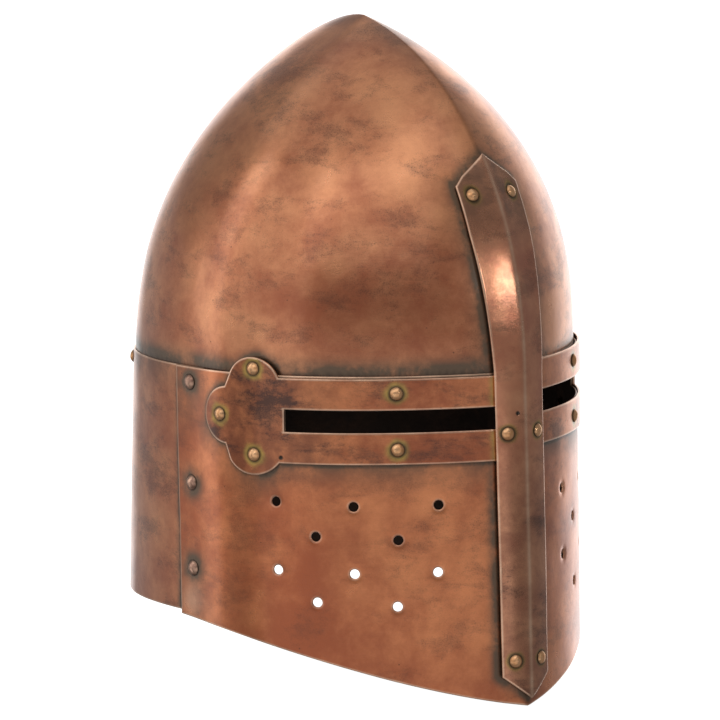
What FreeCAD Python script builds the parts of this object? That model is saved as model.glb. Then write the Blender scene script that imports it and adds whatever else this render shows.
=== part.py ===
"""Sugarloaf great helm: a pointed two-piece skull over a folded face plate and a back plate.

Frame, in millimetres: +Z up, the face looks along -Y, the wearer's right is -X.
The origin is on the ground under the middle of the helm. Inside the helm heights are given
from the seam, the top edge of the lower plates, and depths from the widest line.
"""
import FreeCAD
import Part
import Sketcher
import math
import os
import re
from FreeCAD import Placement, Rotation, Vector

DIMENSIONS = [
    # plan at the seam
    ("half_width", 110.0, "middle to side, outside the skull"),
    ("front_depth", 123.5, "widest line to front crease"),
    ("back_depth", 129.0, "widest line to back"),
    ("front_fullness", 1.584, "bluntness of the front at the seam, 1 is a plain ellipse"),
    ("crown_fullness", 1.213, "the same at the crown"),
    ("back_power", 2.385, "superellipse power of the back, 2 is a plain ellipse"),
    # skull profile
    ("crown_rise", 178.5, "seam to crown"),
    ("crown_back", 1.4, "crown behind the widest line"),
    ("brow_fullness", 1.283, "front profile, an ellipse arc"),
    ("brow_power", 1.073, "front profile, power of the height"),
    ("nape_power", 1.526, "back profile, power of the height"),
    ("cheek_fullness", 9.4, "side profile, an ellipse arc"),
    ("cheek_power", 1.32, "side profile, power of the height"),
    # lower plates: how much wider they get per millimetre down
    ("front_slope", 0.0192, "front crease"),
    ("side_slope", -0.0079, "sides"),
    ("back_slope", 0.0819, "back"),
    ("seam_height", 175.95, "ground to seam, the front tip stands on the ground"),
    ("middle_shift", -4.82, "widest line behind the middle of the whole box"),
    ("trim_reach", 160.0, "trimming outlines reach this far from the middle"),
    ("trim_high", 190.0, "top of the trimming outlines"),
    ("skirt_foot", -190.0, "the lower plates are drawn down to here before they are trimmed"),
    ("skirt_head", 20.0, "and up to here, over the seam"),
    ("sheet", 1.2, "thickness of skull, face plate and back plate"),
    ("strap", 1.6, "thickness of eye bands and nasal bar"),
    # face plate and back plate
    ("side_seam", 23.5, "rear edge of the face plate behind the widest line"),
    ("lap", 22.0, "back plate under the face plate"),
    ("cheek_drop", 132.9, "seam to lower edge at the side seam"),
    ("jaw_centre", -484.0, "height of the centre of the lower edge's arc"),
    ("jaw_drop", 173.5, "seam to lower edge at the end of that arc"),
    ("chin_drop", 193.0, "seam to where the lower edge would meet the outline's end"),
    ("back_drop", 130.9, "seam to lower edge at the back"),
    ("skull_tuck", 14.0, "skull inside the plates"),
    ("sight_tuck", 10.0, "the same over the left eye slot"),
    ("sight_reach", 5.0, "the shallow tuck ends this far behind the slot"),
    ("sight_step", 4.0, "and deepens over this length"),
    ("left_rise", 6.0, "left eye band sits higher, set by eye in the making"),
    ("left_top", 5.0, "left top edge of the face plate rises to this at the crease"),
    # eye band
    ("slot_top", -17.6, "upper edge of the eye slot"),
    ("slot_bottom", -29.2, "lower edge of the eye slot"),
    ("slot_end", -52.4, "rear end of the eye slot"),
    ("slot_relief", 0.8, "slot in the face plate is larger than in the band"),
    ("bridge", 9.0, "crease to slot, under the nasal bar"),
    ("arm_top", -1.2, "upper edge of the upper arm"),
    ("arm_bottom", -46.0, "lower edge of the lower arm"),
    ("arm_root", -49.6, "arms meet the trefoil"),
    ("lobe_mid", -21.3, "upper and lower lobes end here"),
    ("notch", -18.2, "notches between the lobes"),
    ("notch_top", -7.4, "height of the upper notch"),
    ("notch_bottom", -37.7, "height of the lower notch"),
    ("upper_lobe", -6.0, "height of the upper lobe's centre"),
    ("rear_lobe", -19.0, "depth of the rear lobe's centre"),
    ("lower_lobe", -35.0, "height of the lower lobe's centre"),
    ("crease_gap", 0.3, "half the gap between the bands under the nasal bar"),
    # nasal bar
    ("bar_tip", 111.5, "upper point"),
    ("bar_shoulder", 96.0, "upper shoulders"),
    ("bar_waist", 72.0, "the bar narrows from here down to the seam"),
    ("bar_top_half", 20.5, "half width at the shoulders"),
    ("bar_mid_half", 16.4, "half width at the seam"),
    ("bar_foot_half", 15.5, "half width at the lower shoulders"),
    ("bar_ear", 5.0, "cut corner of the upper shoulders"),
    ("bar_foot", -159.5, "lower shoulders"),
    ("bar_toe", -171.5, "lower point"),
    ("bar_rest", 0.3, "bar clear of the bands"),
    ("bar_seat", 0.6, "upper point clear of the skull"),
    ("bar_reach", 24.0, "half width of the blank"),
    # rivets
    ("head_radius", 3.6, "small rivet head"),
    ("head_height", 1.9, "small rivet dome"),
    ("seam_head", 4.2, "side seam rivet head"),
    ("seam_dome", 2.2, "side seam rivet dome"),
    ("shank", 2.0, "rivet shank radius, which fills its hole"),
    ("tail_radius", 3.0, "peened tail"),
    ("tail_height", 0.9, "peened tail"),
    ("tail_taper", 0.8, "the tail's end over its foot"),
    ("drill_reach", 12.0, "drills reach this far either side of a sheet"),
    ("head_ease", 0.02, "the flat seat of a head clear of the sheet"),
    ("tail_ease", 0.25, "the flat tail clear of the hollow side of the sheet"),
    ("hole_radius", 2.5, "breath hole"),
    # liner
    ("leather", 2.4, "headband and petals"),
    ("liner_gap", 0.2, "between layers"),
    ("headband_front", 8.9, "height of the lower edge, carried on to the outline's front end"),
    ("headband_back", -17.1, "the same at the outline's rear end"),
    ("headband_high", 27.0, "upper edge"),
    ("petal_rise", 104.0, "crown of the petal dome"),
    ("petal_low", 13.5, "foot of the petals, sewn inside the headband"),
    ("petal_angle", 41.0, "width of a petal seen from above, degrees"),
    ("crown_hole", 27.0, "radius of the opening between the petal tips"),
    ("lace_radius", 1.5, "lace"),
    ("lace_height", 99.0, "lace on the petal tips"),
    ("washer_radius", 3.8, "washer under a liner rivet tail"),
    ("washer", 0.8, "washer thickness"),
]
# breath holes, (depth, height), four staggered rows
BREATH_HOLES = [(-46.0, -66.3), (-80.5, -68.0), (-107.7, -67.6),
                (-65.0, -84.0), (-96.0, -85.6),
                (-46.6, -102.3), (-80.8, -103.2), (-107.7, -102.8),
                (-65.4, -118.5), (-95.8, -120.4)]
# rivets of one side: place along the surface (depth, half breadth or turn), height
UPPER_ARM_RIVET = (-96.5, -8.8)
LOWER_ARM_RIVET = (-97.0, -38.2)
UPPER_LOBE_RIVET = (-36.3, 2.9)
LOBE_RIVETS = [(-14.6, -22.4), (-36.0, -42.2)]
SEAM_RIVETS = [(11.4, -8.2), (11.4, -61.5), (11.4, -107.0)]
BAR_TOP_RIVET = (13.3, 91.3)
BAR_MIDDLE_RIVET = (10.0, -31.8)
BAR_BOTTOM_RIVET = (8.5, -151.2)
BACK_RIVET_TURNS = [44.0, 90.0, 136.0]
BACK_RIVET_HEIGHT = -5.0
PETALS = 8
# heights of the sections of a dome, as parts of its rise
DOME_LEVELS = [-0.11, 0, 0.1, 0.2, 0.3, 0.4, 0.5, 0.6, 0.7, 0.79, 0.87, 0.93, 0.97, 0.992, 0.999]
BAR_LEVELS = range(-180, 121, 20)
# the pointed crown moves this many millimetres for each millimetre of growth
CROWN_GROWTH = 1.5

doc = FreeCAD.newDocument("sugarloaf_helm")
sheet = doc.addObject("Spreadsheet::Sheet", "dimensions")
for row, (alias, value, note) in enumerate(DIMENSIONS, 1):
    sheet.set(f"A{row}", str(value))
    sheet.setAlias(f"A{row}", alias)
    sheet.set(f"B{row}", note)
doc.recompute()


def size(alias):
    """The value of a cell of the sheet."""
    return float(sheet.get(alias))


ALIASES = {alias for alias, _, _ in DIMENSIONS}


def cells(expression):
    """Write the sheet's name before each alias in an expression."""
    return re.sub(r"[a-z]\w+", lambda word: ("dimensions." if word.group() in ALIASES else "")
                  + word.group(), expression)


def value(expression):
    """The number that an expression over the aliases gives."""
    return float(sheet.evalExpression(cells(expression)))


def plane_of(body, role):
    """One of the body's own origin planes."""
    return next(f for f in body.Origin.OriginFeatures if f.Role == role)


def arc_between(start, end, axis, place, ccw):
    """The circle arc between two points whose centre has one given coordinate."""
    middle = (start + end) * 0.5
    chord = end - start
    if axis == "u":
        centre = Vector(place, middle.y - (place - middle.x) * chord.x / chord.y, 0)
    else:
        centre = Vector(middle.x - (place - middle.y) * chord.y / chord.x, place, 0)
    first, last = (start, end) if ccw else (end, start)
    turn = [math.atan2(p.y - centre.y, p.x - centre.x) for p in (first, last)]
    circle = Part.Circle(centre, Vector(0, 0, 1), (start - centre).Length)
    return Part.ArcOfCircle(circle, turn[0], turn[1])


def draw(body, name, role, outline):
    """A closed sketch. Each corner is (u, v) or (u, v, bend), all expressions over the sheet.

    The edge to the next corner is straight, or with bend (axis, centre, ccw) an arc whose
    centre has that u or v coordinate.
    """
    sketch = body.newObject("Sketcher::SketchObject", name)
    sketch.AttachmentSupport = [(plane_of(body, role), "")]
    sketch.MapMode = "FlatFace"
    corners = [Vector(value(c[0]), value(c[1]), 0) for c in outline]
    ends = []
    for i, corner in enumerate(outline):
        start, end = corners[i], corners[(i + 1) % len(corners)]
        if len(corner) == 2:
            sketch.addGeometry(Part.LineSegment(start, end))
            ends.append((1, 2))
        else:
            axis, centre, ccw = corner[2]
            sketch.addGeometry(arc_between(start, end, axis, value(centre), ccw))
            ends.append((1, 2) if ccw else (2, 1))
            kind = "DistanceX" if axis == "u" else "DistanceY"
            bind(sketch, kind, i, 3, centre)
    for i, corner in enumerate(outline):
        following = (i + 1) % len(outline)
        sketch.addConstraint(Sketcher.Constraint("Coincident", i, ends[i][1],
                                                 following, ends[following][0]))
        bind(sketch, "DistanceX", i, ends[i][0], corner[0])
        bind(sketch, "DistanceY", i, ends[i][0], corner[1])
    return sketch


def bind(sketch, kind, edge, point, expression):
    """Fix one coordinate of a sketch point to an expression over the sheet."""
    index = sketch.addConstraint(
        Sketcher.Constraint(kind, -1, 1, edge, point, value(expression)))
    sketch.setExpression(f"Constraints[{index}]", cells(expression))


def prism(name, role, outline, length, start="0", reverse=False):
    """A PartDesign pad of an outline, used to trim sheet metal to shape."""
    body = doc.addObject("PartDesign::Body", name)
    sketch = draw(body, name + "_sketch", role, outline)
    sketch.setExpression(".AttachmentOffset.Base.z", cells(start))
    pad = body.newObject("PartDesign::Pad", name + "_pad")
    pad.Profile = sketch
    pad.setExpression("Length", cells(length))
    pad.Reversed = reverse
    return body


def box(name, low, high):
    """A Part::Box between two corners given as expressions."""
    block = doc.addObject("Part::Box", name)
    for side, axis, a, b in zip(("Length", "Width", "Height"), "xyz", low, high):
        block.setExpression(side, cells(f"({b}) - ({a})"))
        block.setExpression(f"Placement.Base.{axis}", cells(a))
    return block


def combine(kind, name, base, tool):
    """Part::Cut or Part::Common of two objects."""
    result = doc.addObject(kind, name)
    result.Base = base
    result.Tool = tool
    return result


# ---------------------------------------------------------------- the curved surfaces

def arc_ratio(t, fullness):
    """Breadth at t, from 1 at t=0 to 0 at t=1, along an ellipse arc.

    The ellipse's centre lies (fullness - 1) breadths beyond the axis, so a fullness
    over 1 meets the axis in a point.
    """
    return 1 - fullness + math.sqrt(max(fullness ** 2 - (2 * fullness - 1) * t * t, 0))


def arc_place(ratio, fullness):
    """The t at which arc_ratio gives this ratio."""
    return math.sqrt((fullness ** 2 - (ratio - 1 + fullness) ** 2) / (2 * fullness - 1))


class Plan:
    """Horizontal section at height z above the seam, grown outwards by the given amounts."""

    def __init__(self, z, side=0.0, front=0.0, back=0.0, rise=None, rounded=False):
        half, fore, aft = size("half_width"), size("front_depth"), size("back_depth")
        self.z = z
        self.middle = 0.0
        self.power = size("back_power")
        self.fullness = size("front_fullness")
        if z <= 0:
            self.half = half + side - z * size("side_slope")
            self.fore = fore + front - z * size("front_slope")
            self.aft = aft + back - z * size("back_slope")
            return
        t = min(z / (rise or size("crown_rise")), 1.0)
        if rounded:
            breadth = math.sqrt(1 - t * t)
            self.half = (half + side) * breadth
            self.fore = (fore + front) * breadth
            self.aft = (aft + back) * breadth
            return
        crown = size("crown_back")
        wide = arc_ratio(t ** size("cheek_power"), size("cheek_fullness"))
        brow = arc_ratio(t ** size("brow_power"), size("brow_fullness"))
        nape = math.sqrt(max(1 - t ** size("nape_power"), 0))
        self.middle = crown * (1 - wide)
        self.half = (half + side) * wide
        self.fore = self.middle - crown + (fore + front + crown) * brow
        self.aft = crown - self.middle + (aft + back - crown) * nape
        self.fullness += (size("crown_fullness") - size("front_fullness")) * t

    def raised(self, z):
        """The same section at another height."""
        self.z = z
        return self

    def across(self, y):
        """Half breadth at depth y."""
        y -= self.middle
        if y < 0:
            return self.half * arc_ratio(min(-y / self.fore, 1), self.fullness)
        return self.half * max(1 - (y / self.aft) ** self.power, 0) ** (1 / self.power)

    def depth(self, x):
        """Depth of the front wall at half breadth x."""
        return self.middle - self.fore * arc_place(abs(x) / self.half, self.fullness)

    def front_points(self, count=13):
        """From the crease to the widest point on the +X side."""
        steps = [math.sin(math.pi / 2 * i / (count - 1)) for i in range(count)]
        return [Vector(self.across(self.middle - self.fore * s), self.middle - self.fore * s,
                       self.z) for s in reversed(steps)]

    def back_points(self, count=17):
        """From the widest point on the +X side to the back."""
        points = []
        for i in range(count):
            angle = math.pi / 2 * i / (count - 1)
            x = self.half * math.cos(angle) ** (2 / self.power)
            y = self.aft * math.sin(angle) ** (2 / self.power)
            points.append(Vector(x, self.middle + y, self.z))
        return points

    def wire(self):
        """The closed outline: right and left front arcs and back arcs."""
        along = Vector(0, 1, 0)
        front = Part.BSplineCurve()
        front.interpolate(Points=self.front_points(), FinalTangent=along)
        back = Part.BSplineCurve()
        back.interpolate(Points=self.back_points(), InitialTangent=along)
        left = [front.toShape(), back.toShape()]
        right = [edge.mirror(Vector(0, 0, 0), Vector(1, 0, 0)) for edge in reversed(left)]
        return Part.Wire(left + right)


def lofted(name, plans, ruled=False):
    """A Part::Loft through horizontal sections."""
    sections = []
    for i, plan in enumerate(plans):
        section = doc.addObject("Part::Feature", f"{name}_section_{i}")
        section.Shape = plan.wire()
        sections.append(section)
    loft = doc.addObject("Part::Loft", name)
    loft.Sections = sections
    loft.Solid = True
    loft.Ruled = ruled
    return loft


def dome(name, layer):
    """A closed block with the skull's shape through sections at DOME_LEVELS."""
    grow = growth(layer)
    rise = rise_of(grow)
    return lofted(name, [Plan(level * rise, *grow, rise) for level in DOME_LEVELS])


def skirt(name, layer):
    """A ruled block for the lower plates, straight above the seam."""
    grow = growth(layer)
    sections = [Plan(size("skirt_foot"), *grow), Plan(0.0, *grow),
                Plan(0.0, *grow).raised(size("skirt_head"))]
    return lofted(name, sections, ruled=True)


def liner_dome(name, layer):
    """A lower and rounder block for the liner's petals."""
    grow = growth(layer)
    rise = size("petal_rise") + min(grow)
    return lofted(name, [Plan(level * rise, *grow, rise, rounded=True)
                         for level in DOME_LEVELS])


# ---------------------------------------------------------------- layers of sheet metal

def growth(layer):
    """How far the outside of a layer lies outside the skull line: side, front and back."""
    thick, strap = size("sheet"), size("strap")
    leather = thick + size("liner_gap") + size("leather")
    return {
        "band": (2 * thick + strap, thick + strap, 2 * thick + strap),
        "face": (2 * thick, thick, 2 * thick),
        "under_face": (thick, 0, thick),
        "back": (thick, thick, thick),
        "skull": (0, 0, 0),
        "under_skull": (-thick,) * 3,
        "headband": (-thick - size("liner_gap"),) * 3,
        "under_headband": (-leather,) * 3,
        "under_washer": (-leather - size("washer") - size("tail_ease"),) * 3,
        "petal": (-leather - size("liner_gap"),) * 3,
        "under_petal": (-leather - size("liner_gap") - size("leather"),) * 3,
    }[layer]


def rise_of(grow):
    """Height of the crown of the surface with this growth."""
    return size("crown_rise") + CROWN_GROWTH * min(grow)


def surface(layer):
    """Sections of the outside of a layer, by height."""
    grow = growth(layer)
    return lambda z: Plan(z, *grow, rise_of(grow))


def layer_between(name, kind, outside, inside):
    """A Part::Cut of two nested blocks: a skirt, a dome or a round liner dome."""
    return combine("Part::Cut", name, kind(name + "_outside", outside),
                   kind(name + "_inside", inside))


def bar_growth(z):
    """How far the inside of the nasal bar stands off the skull line, side and front."""
    rest = size("sheet") + size("strap") + size("bar_rest")
    if z > 0:
        rest += (size("bar_seat") - rest) * min(z / size("bar_tip"), 1)
    return rest + size("sheet"), rest


def bar_surface(grow=0.0):
    """Sections of the inside of the nasal bar, or of a surface grown from it."""
    def section(z):
        side, front = bar_growth(z)
        return Plan(z, side + grow, front + grow, 0, size("crown_rise") + front + grow)
    return section


def bar_section(z):
    """Section of the folded nasal bar blank: two curved wings meeting at the crease."""
    steps = [size("bar_reach") * i / 6 for i in range(7)]
    wings = []
    for grow in (size("strap"), 0.0):
        plan = bar_surface(grow)(z)
        wing = Part.BSplineCurve()
        wing.interpolate([Vector(x, plan.depth(x), z) for x in steps])
        wings.append(wing.toShape())
    tip = [wing.valueAt(wing.LastParameter) for wing in wings]
    right = [wings[0], Part.makeLine(tip[0], tip[1]), wings[1]]
    left = [edge.mirror(Vector(0, 0, 0), Vector(1, 0, 0)) for edge in right]
    return Part.Wire(Part.__sortEdges__(right + left))


def bar_blank():
    """The nasal bar before its outline is cut."""
    sections = []
    for i, z in enumerate(BAR_LEVELS):
        section = doc.addObject("Part::Feature", f"bar_section_{i}")
        section.Shape = bar_section(z)
        sections.append(section)
    loft = doc.addObject("Part::Loft", "bar_blank")
    loft.Sections = sections
    loft.Solid = True
    return loft


# ---------------------------------------------------------------- outlines

def face_outline(top_front):
    """Side view of half the face plate: crease, lower edge, side seam, top edge."""
    return [("-trim_reach", "-chin_drop"),
            ("-front_depth", "-jaw_drop", ("v", "jaw_centre", False)),
            ("side_seam", "-cheek_drop"),
            ("side_seam", "0"),
            ("-front_depth", top_front),
            ("-trim_reach", top_front)]


def slot_outline(rise, relief):
    """Side view of an eye slot, open towards the crease."""
    return [(f"slot_end + {relief}", f"slot_top + {rise} + {relief}"),
            (f"slot_end + {relief}", f"slot_bottom + {rise} - {relief}"),
            ("-trim_reach", f"slot_bottom + {rise} - {relief}"),
            ("-trim_reach", f"slot_top + {rise} + {relief}")]


def band_outline(rise):
    """Side view of an eye band: two arms round the slot and a trefoil end."""
    return [("-trim_reach", f"arm_top + {rise}"),
            ("-trim_reach", f"slot_top + {rise}"),
            ("slot_end", f"slot_top + {rise}"),
            ("slot_end", f"slot_bottom + {rise}"),
            ("-trim_reach", f"slot_bottom + {rise}"),
            ("-trim_reach", f"arm_bottom + {rise}"),
            ("arm_root", f"arm_bottom + {rise}", ("v", f"lower_lobe + {rise}", True)),
            ("lobe_mid", f"arm_bottom + {rise}"),
            ("notch", f"notch_bottom + {rise}", ("u", "rear_lobe", True)),
            ("notch", f"notch_top + {rise}"),
            ("lobe_mid", f"arm_top + {rise}", ("v", f"upper_lobe + {rise}", True)),
            ("arm_root", f"arm_top + {rise}")]


def bar_outline():
    """Front view of the nasal bar, pointed at both ends."""
    right = [("bar_top_half - bar_ear", "bar_shoulder + bar_ear"),
             ("bar_top_half", "bar_shoulder"),
             ("bar_top_half", "bar_waist"),
             ("bar_mid_half", "0"),
             ("bar_foot_half", "bar_foot")]
    left = [(f"-({u})", v) for u, v in reversed(right)]
    return [("0", "bar_tip")] + right + [("0", "bar_toe")] + left


# ---------------------------------------------------------------- rivets and holes

def on_side(plan, depth):
    """A point of a section, by its depth in front of or behind the widest line."""
    return Vector(plan.across(depth), depth, plan.z)


def on_front(plan, breadth):
    """A point of a section, by its distance from the crease."""
    return Vector(breadth, plan.depth(breadth), plan.z)


def on_back(plan, turn):
    """A point of a section, by its turn from the side (0) over the back (90) in degrees."""
    turn = math.radians(turn)
    x = math.copysign(abs(math.cos(turn)) ** (2 / plan.power), math.cos(turn))
    return Vector(plan.half * x, plan.middle + plan.aft * math.sin(turn) ** (2 / plan.power),
                  plan.z)


def seat(point_on, place, z, sections):
    """A point of a surface and its outward normal."""
    step = 0.5
    point = point_on(sections(z), place)
    along = point_on(sections(z), place + step) - point_on(sections(z), place - step)
    up = point_on(sections(z + step), place) - point_on(sections(z - step), place)
    normal = along.cross(up).normalize()
    if normal.dot(Vector(point.x, point.y, 0)) < 0:
        normal = -normal
    return point, normal


def stack_depth(point, normal, sections):
    """How far behind a point the inner surface lies, along the normal."""
    near, far = 0.0, 30.0
    while far - near > 0.001:
        middle = (near + far) / 2
        probe = point - normal * middle
        plan = sections(probe.z)
        within = abs(probe.y - plan.middle) < (plan.aft if probe.y > plan.middle
                                               else plan.fore)
        if within and abs(probe.x) < plan.across(probe.y):
            far = middle
        else:
            near = middle
    return far


def side_of(vector, side):
    """The vector on the wearer's right (-1) or left (1)."""
    return Vector(side * vector.x, vector.y, vector.z)


class Rivet:
    """One rivet through a stack of layers, from its head's seat to its peened tail."""

    def __init__(self, point_on, place, z, side, outer, inner, seam=False):
        point, normal = seat(point_on, place, z, outer)
        point += normal * size("head_ease")
        self.grip = stack_depth(point, normal, inner) + size("tail_ease")
        self.point = side_of(point, side)
        self.normal = side_of(normal, side)
        self.head = size("seam_head" if seam else "head_radius")
        self.dome = size("seam_dome" if seam else "head_height")

    def turned(self, profile, axis_top, axis_bottom):
        """Revolve a half profile, drawn as x = radius and z = height over the seat."""
        edges = profile + [Part.makeLine(axis_bottom, axis_top)]
        face = Part.Face(Part.Wire(Part.__sortEdges__(edges)))
        solid = face.revolve(Vector(0, 0, 0), Vector(0, 0, 1), 360)
        solid.Placement = Placement(self.point, Rotation(Vector(0, 0, 1), self.normal))
        return solid

    def solid(self):
        """Domed head, shank and peened tail."""
        shank, tail, thick = size("shank"), size("tail_radius"), size("tail_height")
        ball = (self.head ** 2 + self.dome ** 2) / (2 * self.dome)
        lean = math.asin(self.head / ball) / 2
        middle = Vector(ball * math.sin(lean), 0, self.dome - ball * (1 - math.cos(lean)))
        top = Vector(0, 0, self.dome)
        rim = Vector(self.head, 0, 0)
        bottom = Vector(0, 0, -self.grip - thick)
        end = Vector(size("tail_taper") * tail, 0, bottom.z)
        corners = [rim, Vector(shank, 0, 0), Vector(shank, 0, -self.grip),
                   Vector(tail, 0, -self.grip), end, bottom]
        edges = [Part.Arc(top, middle, rim).toShape()]
        edges += [Part.makeLine(a, b) for a, b in zip(corners, corners[1:])]
        return self.turned(edges, top, bottom)

    def washer(self):
        """The ring between the leather and the tail."""
        inner, outer, thick = size("shank"), size("washer_radius"), size("washer")
        ring = Part.makeCylinder(outer, thick).cut(Part.makeCylinder(inner, thick))
        start = self.point - self.normal * (self.grip - size("tail_ease") / 2)
        ring.Placement = Placement(start, Rotation(Vector(0, 0, 1), self.normal))
        return ring


def drill(name, point, normal, radius):
    """A Part::Cylinder through the sheet along its normal."""
    tool = doc.addObject("Part::Cylinder", name)
    tool.setExpression("Radius", cells(radius))
    tool.setExpression("Height", cells("2 * drill_reach"))
    start = point - normal * size("drill_reach")
    tool.Placement = Placement(start, Rotation(Vector(0, 0, 1), normal))
    return tool


def compound(name, members):
    """A Part::Compound of several objects."""
    group = doc.addObject("Part::Compound", name)
    group.Links = members
    return group


# ---------------------------------------------------------------- the pieces

def skull_outline(front_tuck):
    """Side view of a skull half, its lower edge raised over the eye slot if need be."""
    return [("-trim_reach", f"-{front_tuck}"),
            ("slot_end + sight_reach", f"-{front_tuck}"),
            ("slot_end + sight_reach + sight_step", "-skull_tuck"),
            ("trim_reach", "-skull_tuck"),
            ("trim_reach", "trim_high"),
            ("-trim_reach", "trim_high")]


def skull_halves(shanks):
    """Two raised half shells, welded edge to edge along the middle."""
    layer = layer_between("skull_layer", dome, "skull", "under_skull")
    halves = {}
    for name, tuck, right in (("skull_right_half", "skull_tuck", True),
                              ("skull_left_half", "sight_tuck", False)):
        trim = prism(name + "_trim", "YZ_Plane", skull_outline(tuck), "trim_reach", reverse=right)
        half = combine("Part::Common", name + "_sheet", layer, trim)
        halves[name] = combine("Part::Cut", name, half, shanks)
    return halves


def face_plate(shanks):
    """One sheet folded at the crease, with two eye slots and the breath holes."""
    layer = layer_between("face_layer", skirt, "face", "under_face")
    right = prism("face_right_trim", "YZ_Plane", face_outline("0"), "trim_reach", reverse=True)
    left = prism("face_left_trim", "YZ_Plane", face_outline("left_top"), "trim_reach")
    trim = combine("Part::Fuse", "face_trim", right, left)
    blank = combine("Part::Common", "face_blank", layer, trim)
    slots = [prism("slot_right", "YZ_Plane", slot_outline("0", "slot_relief"), "trim_reach",
                   start="-bridge", reverse=True),
             prism("slot_left", "YZ_Plane", slot_outline("left_rise", "slot_relief"), "trim_reach",
                   start="bridge")]
    holes = []
    for number, (depth, z) in enumerate(BREATH_HOLES):
        point, normal = seat(on_side, depth, z, surface("face"))
        for side in (-1, 1):
            holes.append(drill(f"breath_hole_{number}_{side + 1}", side_of(point, side),
                               side_of(normal, side), "hole_radius"))
    pierced = combine("Part::Cut", "face_pierced", blank,
                      compound("face_openings", slots + holes))
    return {"face_plate": combine("Part::Cut", "face_plate", pierced, shanks)}


def back_plate(shanks):
    """One bent sheet behind, its ends tucked under the face plate."""
    layer = layer_between("back_layer", skirt, "back", "skull")
    trim = box("back_trim", ("-trim_reach", "side_seam - lap", "-back_drop"),
               ("trim_reach", "trim_reach", "0"))
    blank = combine("Part::Common", "back_blank", layer, trim)
    return {"back_plate": combine("Part::Cut", "back_plate", blank, shanks)}


def eye_bands(shanks):
    """Fork-shaped straps round the eye slots, ending in a trefoil."""
    layer = layer_between("band_layer", skirt, "band", "face")
    bands = {}
    for name, rise, start, right in (("eye_band_right", "0", "-crease_gap", True),
                                     ("eye_band_left", "left_rise", "crease_gap", False)):
        trim = prism(name + "_trim", "YZ_Plane", band_outline(rise), "trim_reach",
                     start=start, reverse=right)
        blank = combine("Part::Common", name + "_blank", layer, trim)
        bands[name] = combine("Part::Cut", name, blank, shanks)
    return bands


def nasal_bar(shanks):
    """A strap folded along its middle, over the crease and the band ends."""
    trim = prism("bar_trim", "XZ_Plane", bar_outline(), "trim_reach")
    blank = combine("Part::Common", "bar_sheet", bar_blank(), trim)
    return {"nasal_bar": combine("Part::Cut", "nasal_bar", blank, shanks)}


def rivet_sets():
    """Every rivet, grouped by node name."""
    band, face, back = surface("band"), surface("face"), surface("back")
    bar = bar_surface(size("strap"))
    under_face, under_skull = surface("under_face"), surface("under_skull")
    washer = surface("under_washer")
    sets = {}
    for name, (x, z), inner in (("nasal_rivets_top", BAR_TOP_RIVET, under_skull),
                                ("nasal_rivets_middle", BAR_MIDDLE_RIVET, under_face),
                                ("nasal_rivets_bottom", BAR_BOTTOM_RIVET, under_face)):
        sets[name] = [Rivet(on_front, x, z, side, bar, inner) for side in (-1, 1)]
    for word, side, rise in (("right", -1, 0.0), ("left", 1, size("left_rise"))):
        sets["lobe_rivets_" + word] = [Rivet(on_side, y, z + rise, side, band, under_face)
                                       for y, z in LOBE_RIVETS]
        y, z = LOWER_ARM_RIVET
        arms = [Rivet(on_side, y, z + rise, side, band, under_face)]
        y, z = UPPER_ARM_RIVET
        arms.append(Rivet(on_side, y, z + rise, side, band, under_skull))
        sets["arm_rivets_" + word] = arms
        sets["seam_rivets_" + word] = [
            Rivet(on_side, y, z, side, face, under_skull if z > -size("skull_tuck") else
                  surface("skull"), seam=True) for y, z in SEAM_RIVETS]
    y, z = UPPER_LOBE_RIVET
    sets["liner_rivets_side"] = [
        Rivet(on_side, y, z + rise, side, band, washer)
        for side, rise in ((-1, 0.0), (1, size("left_rise")))]
    sets["liner_rivets_back"] = [Rivet(on_back, turn, BACK_RIVET_HEIGHT, 1, back, washer)
                                 for turn in BACK_RIVET_TURNS]
    return sets


def rivet_nodes(sets):
    """One node for each set of rivets, and one for the washers of the liner rivets."""
    shapes = {name: [rivet.solid() for rivet in rivets] for name, rivets in sets.items()}
    shapes["liner_washers"] = [rivet.washer() for name, rivets in sets.items()
                               if name.startswith("liner_rivets") for rivet in rivets]
    nodes = {}
    for name, solids in shapes.items():
        nodes[name] = doc.addObject("Part::Feature", name)
        nodes[name].Shape = Part.makeCompound(solids)
    return nodes


def rivet_holes(sets):
    """The drills for every rivet's shank."""
    drills = []
    for name, rivets in sets.items():
        for number, rivet in enumerate(rivets):
            drills.append(drill(f"{name}_drill_{number}", rivet.point, rivet.normal, "shank"))
    return compound("shanks", drills)


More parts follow.
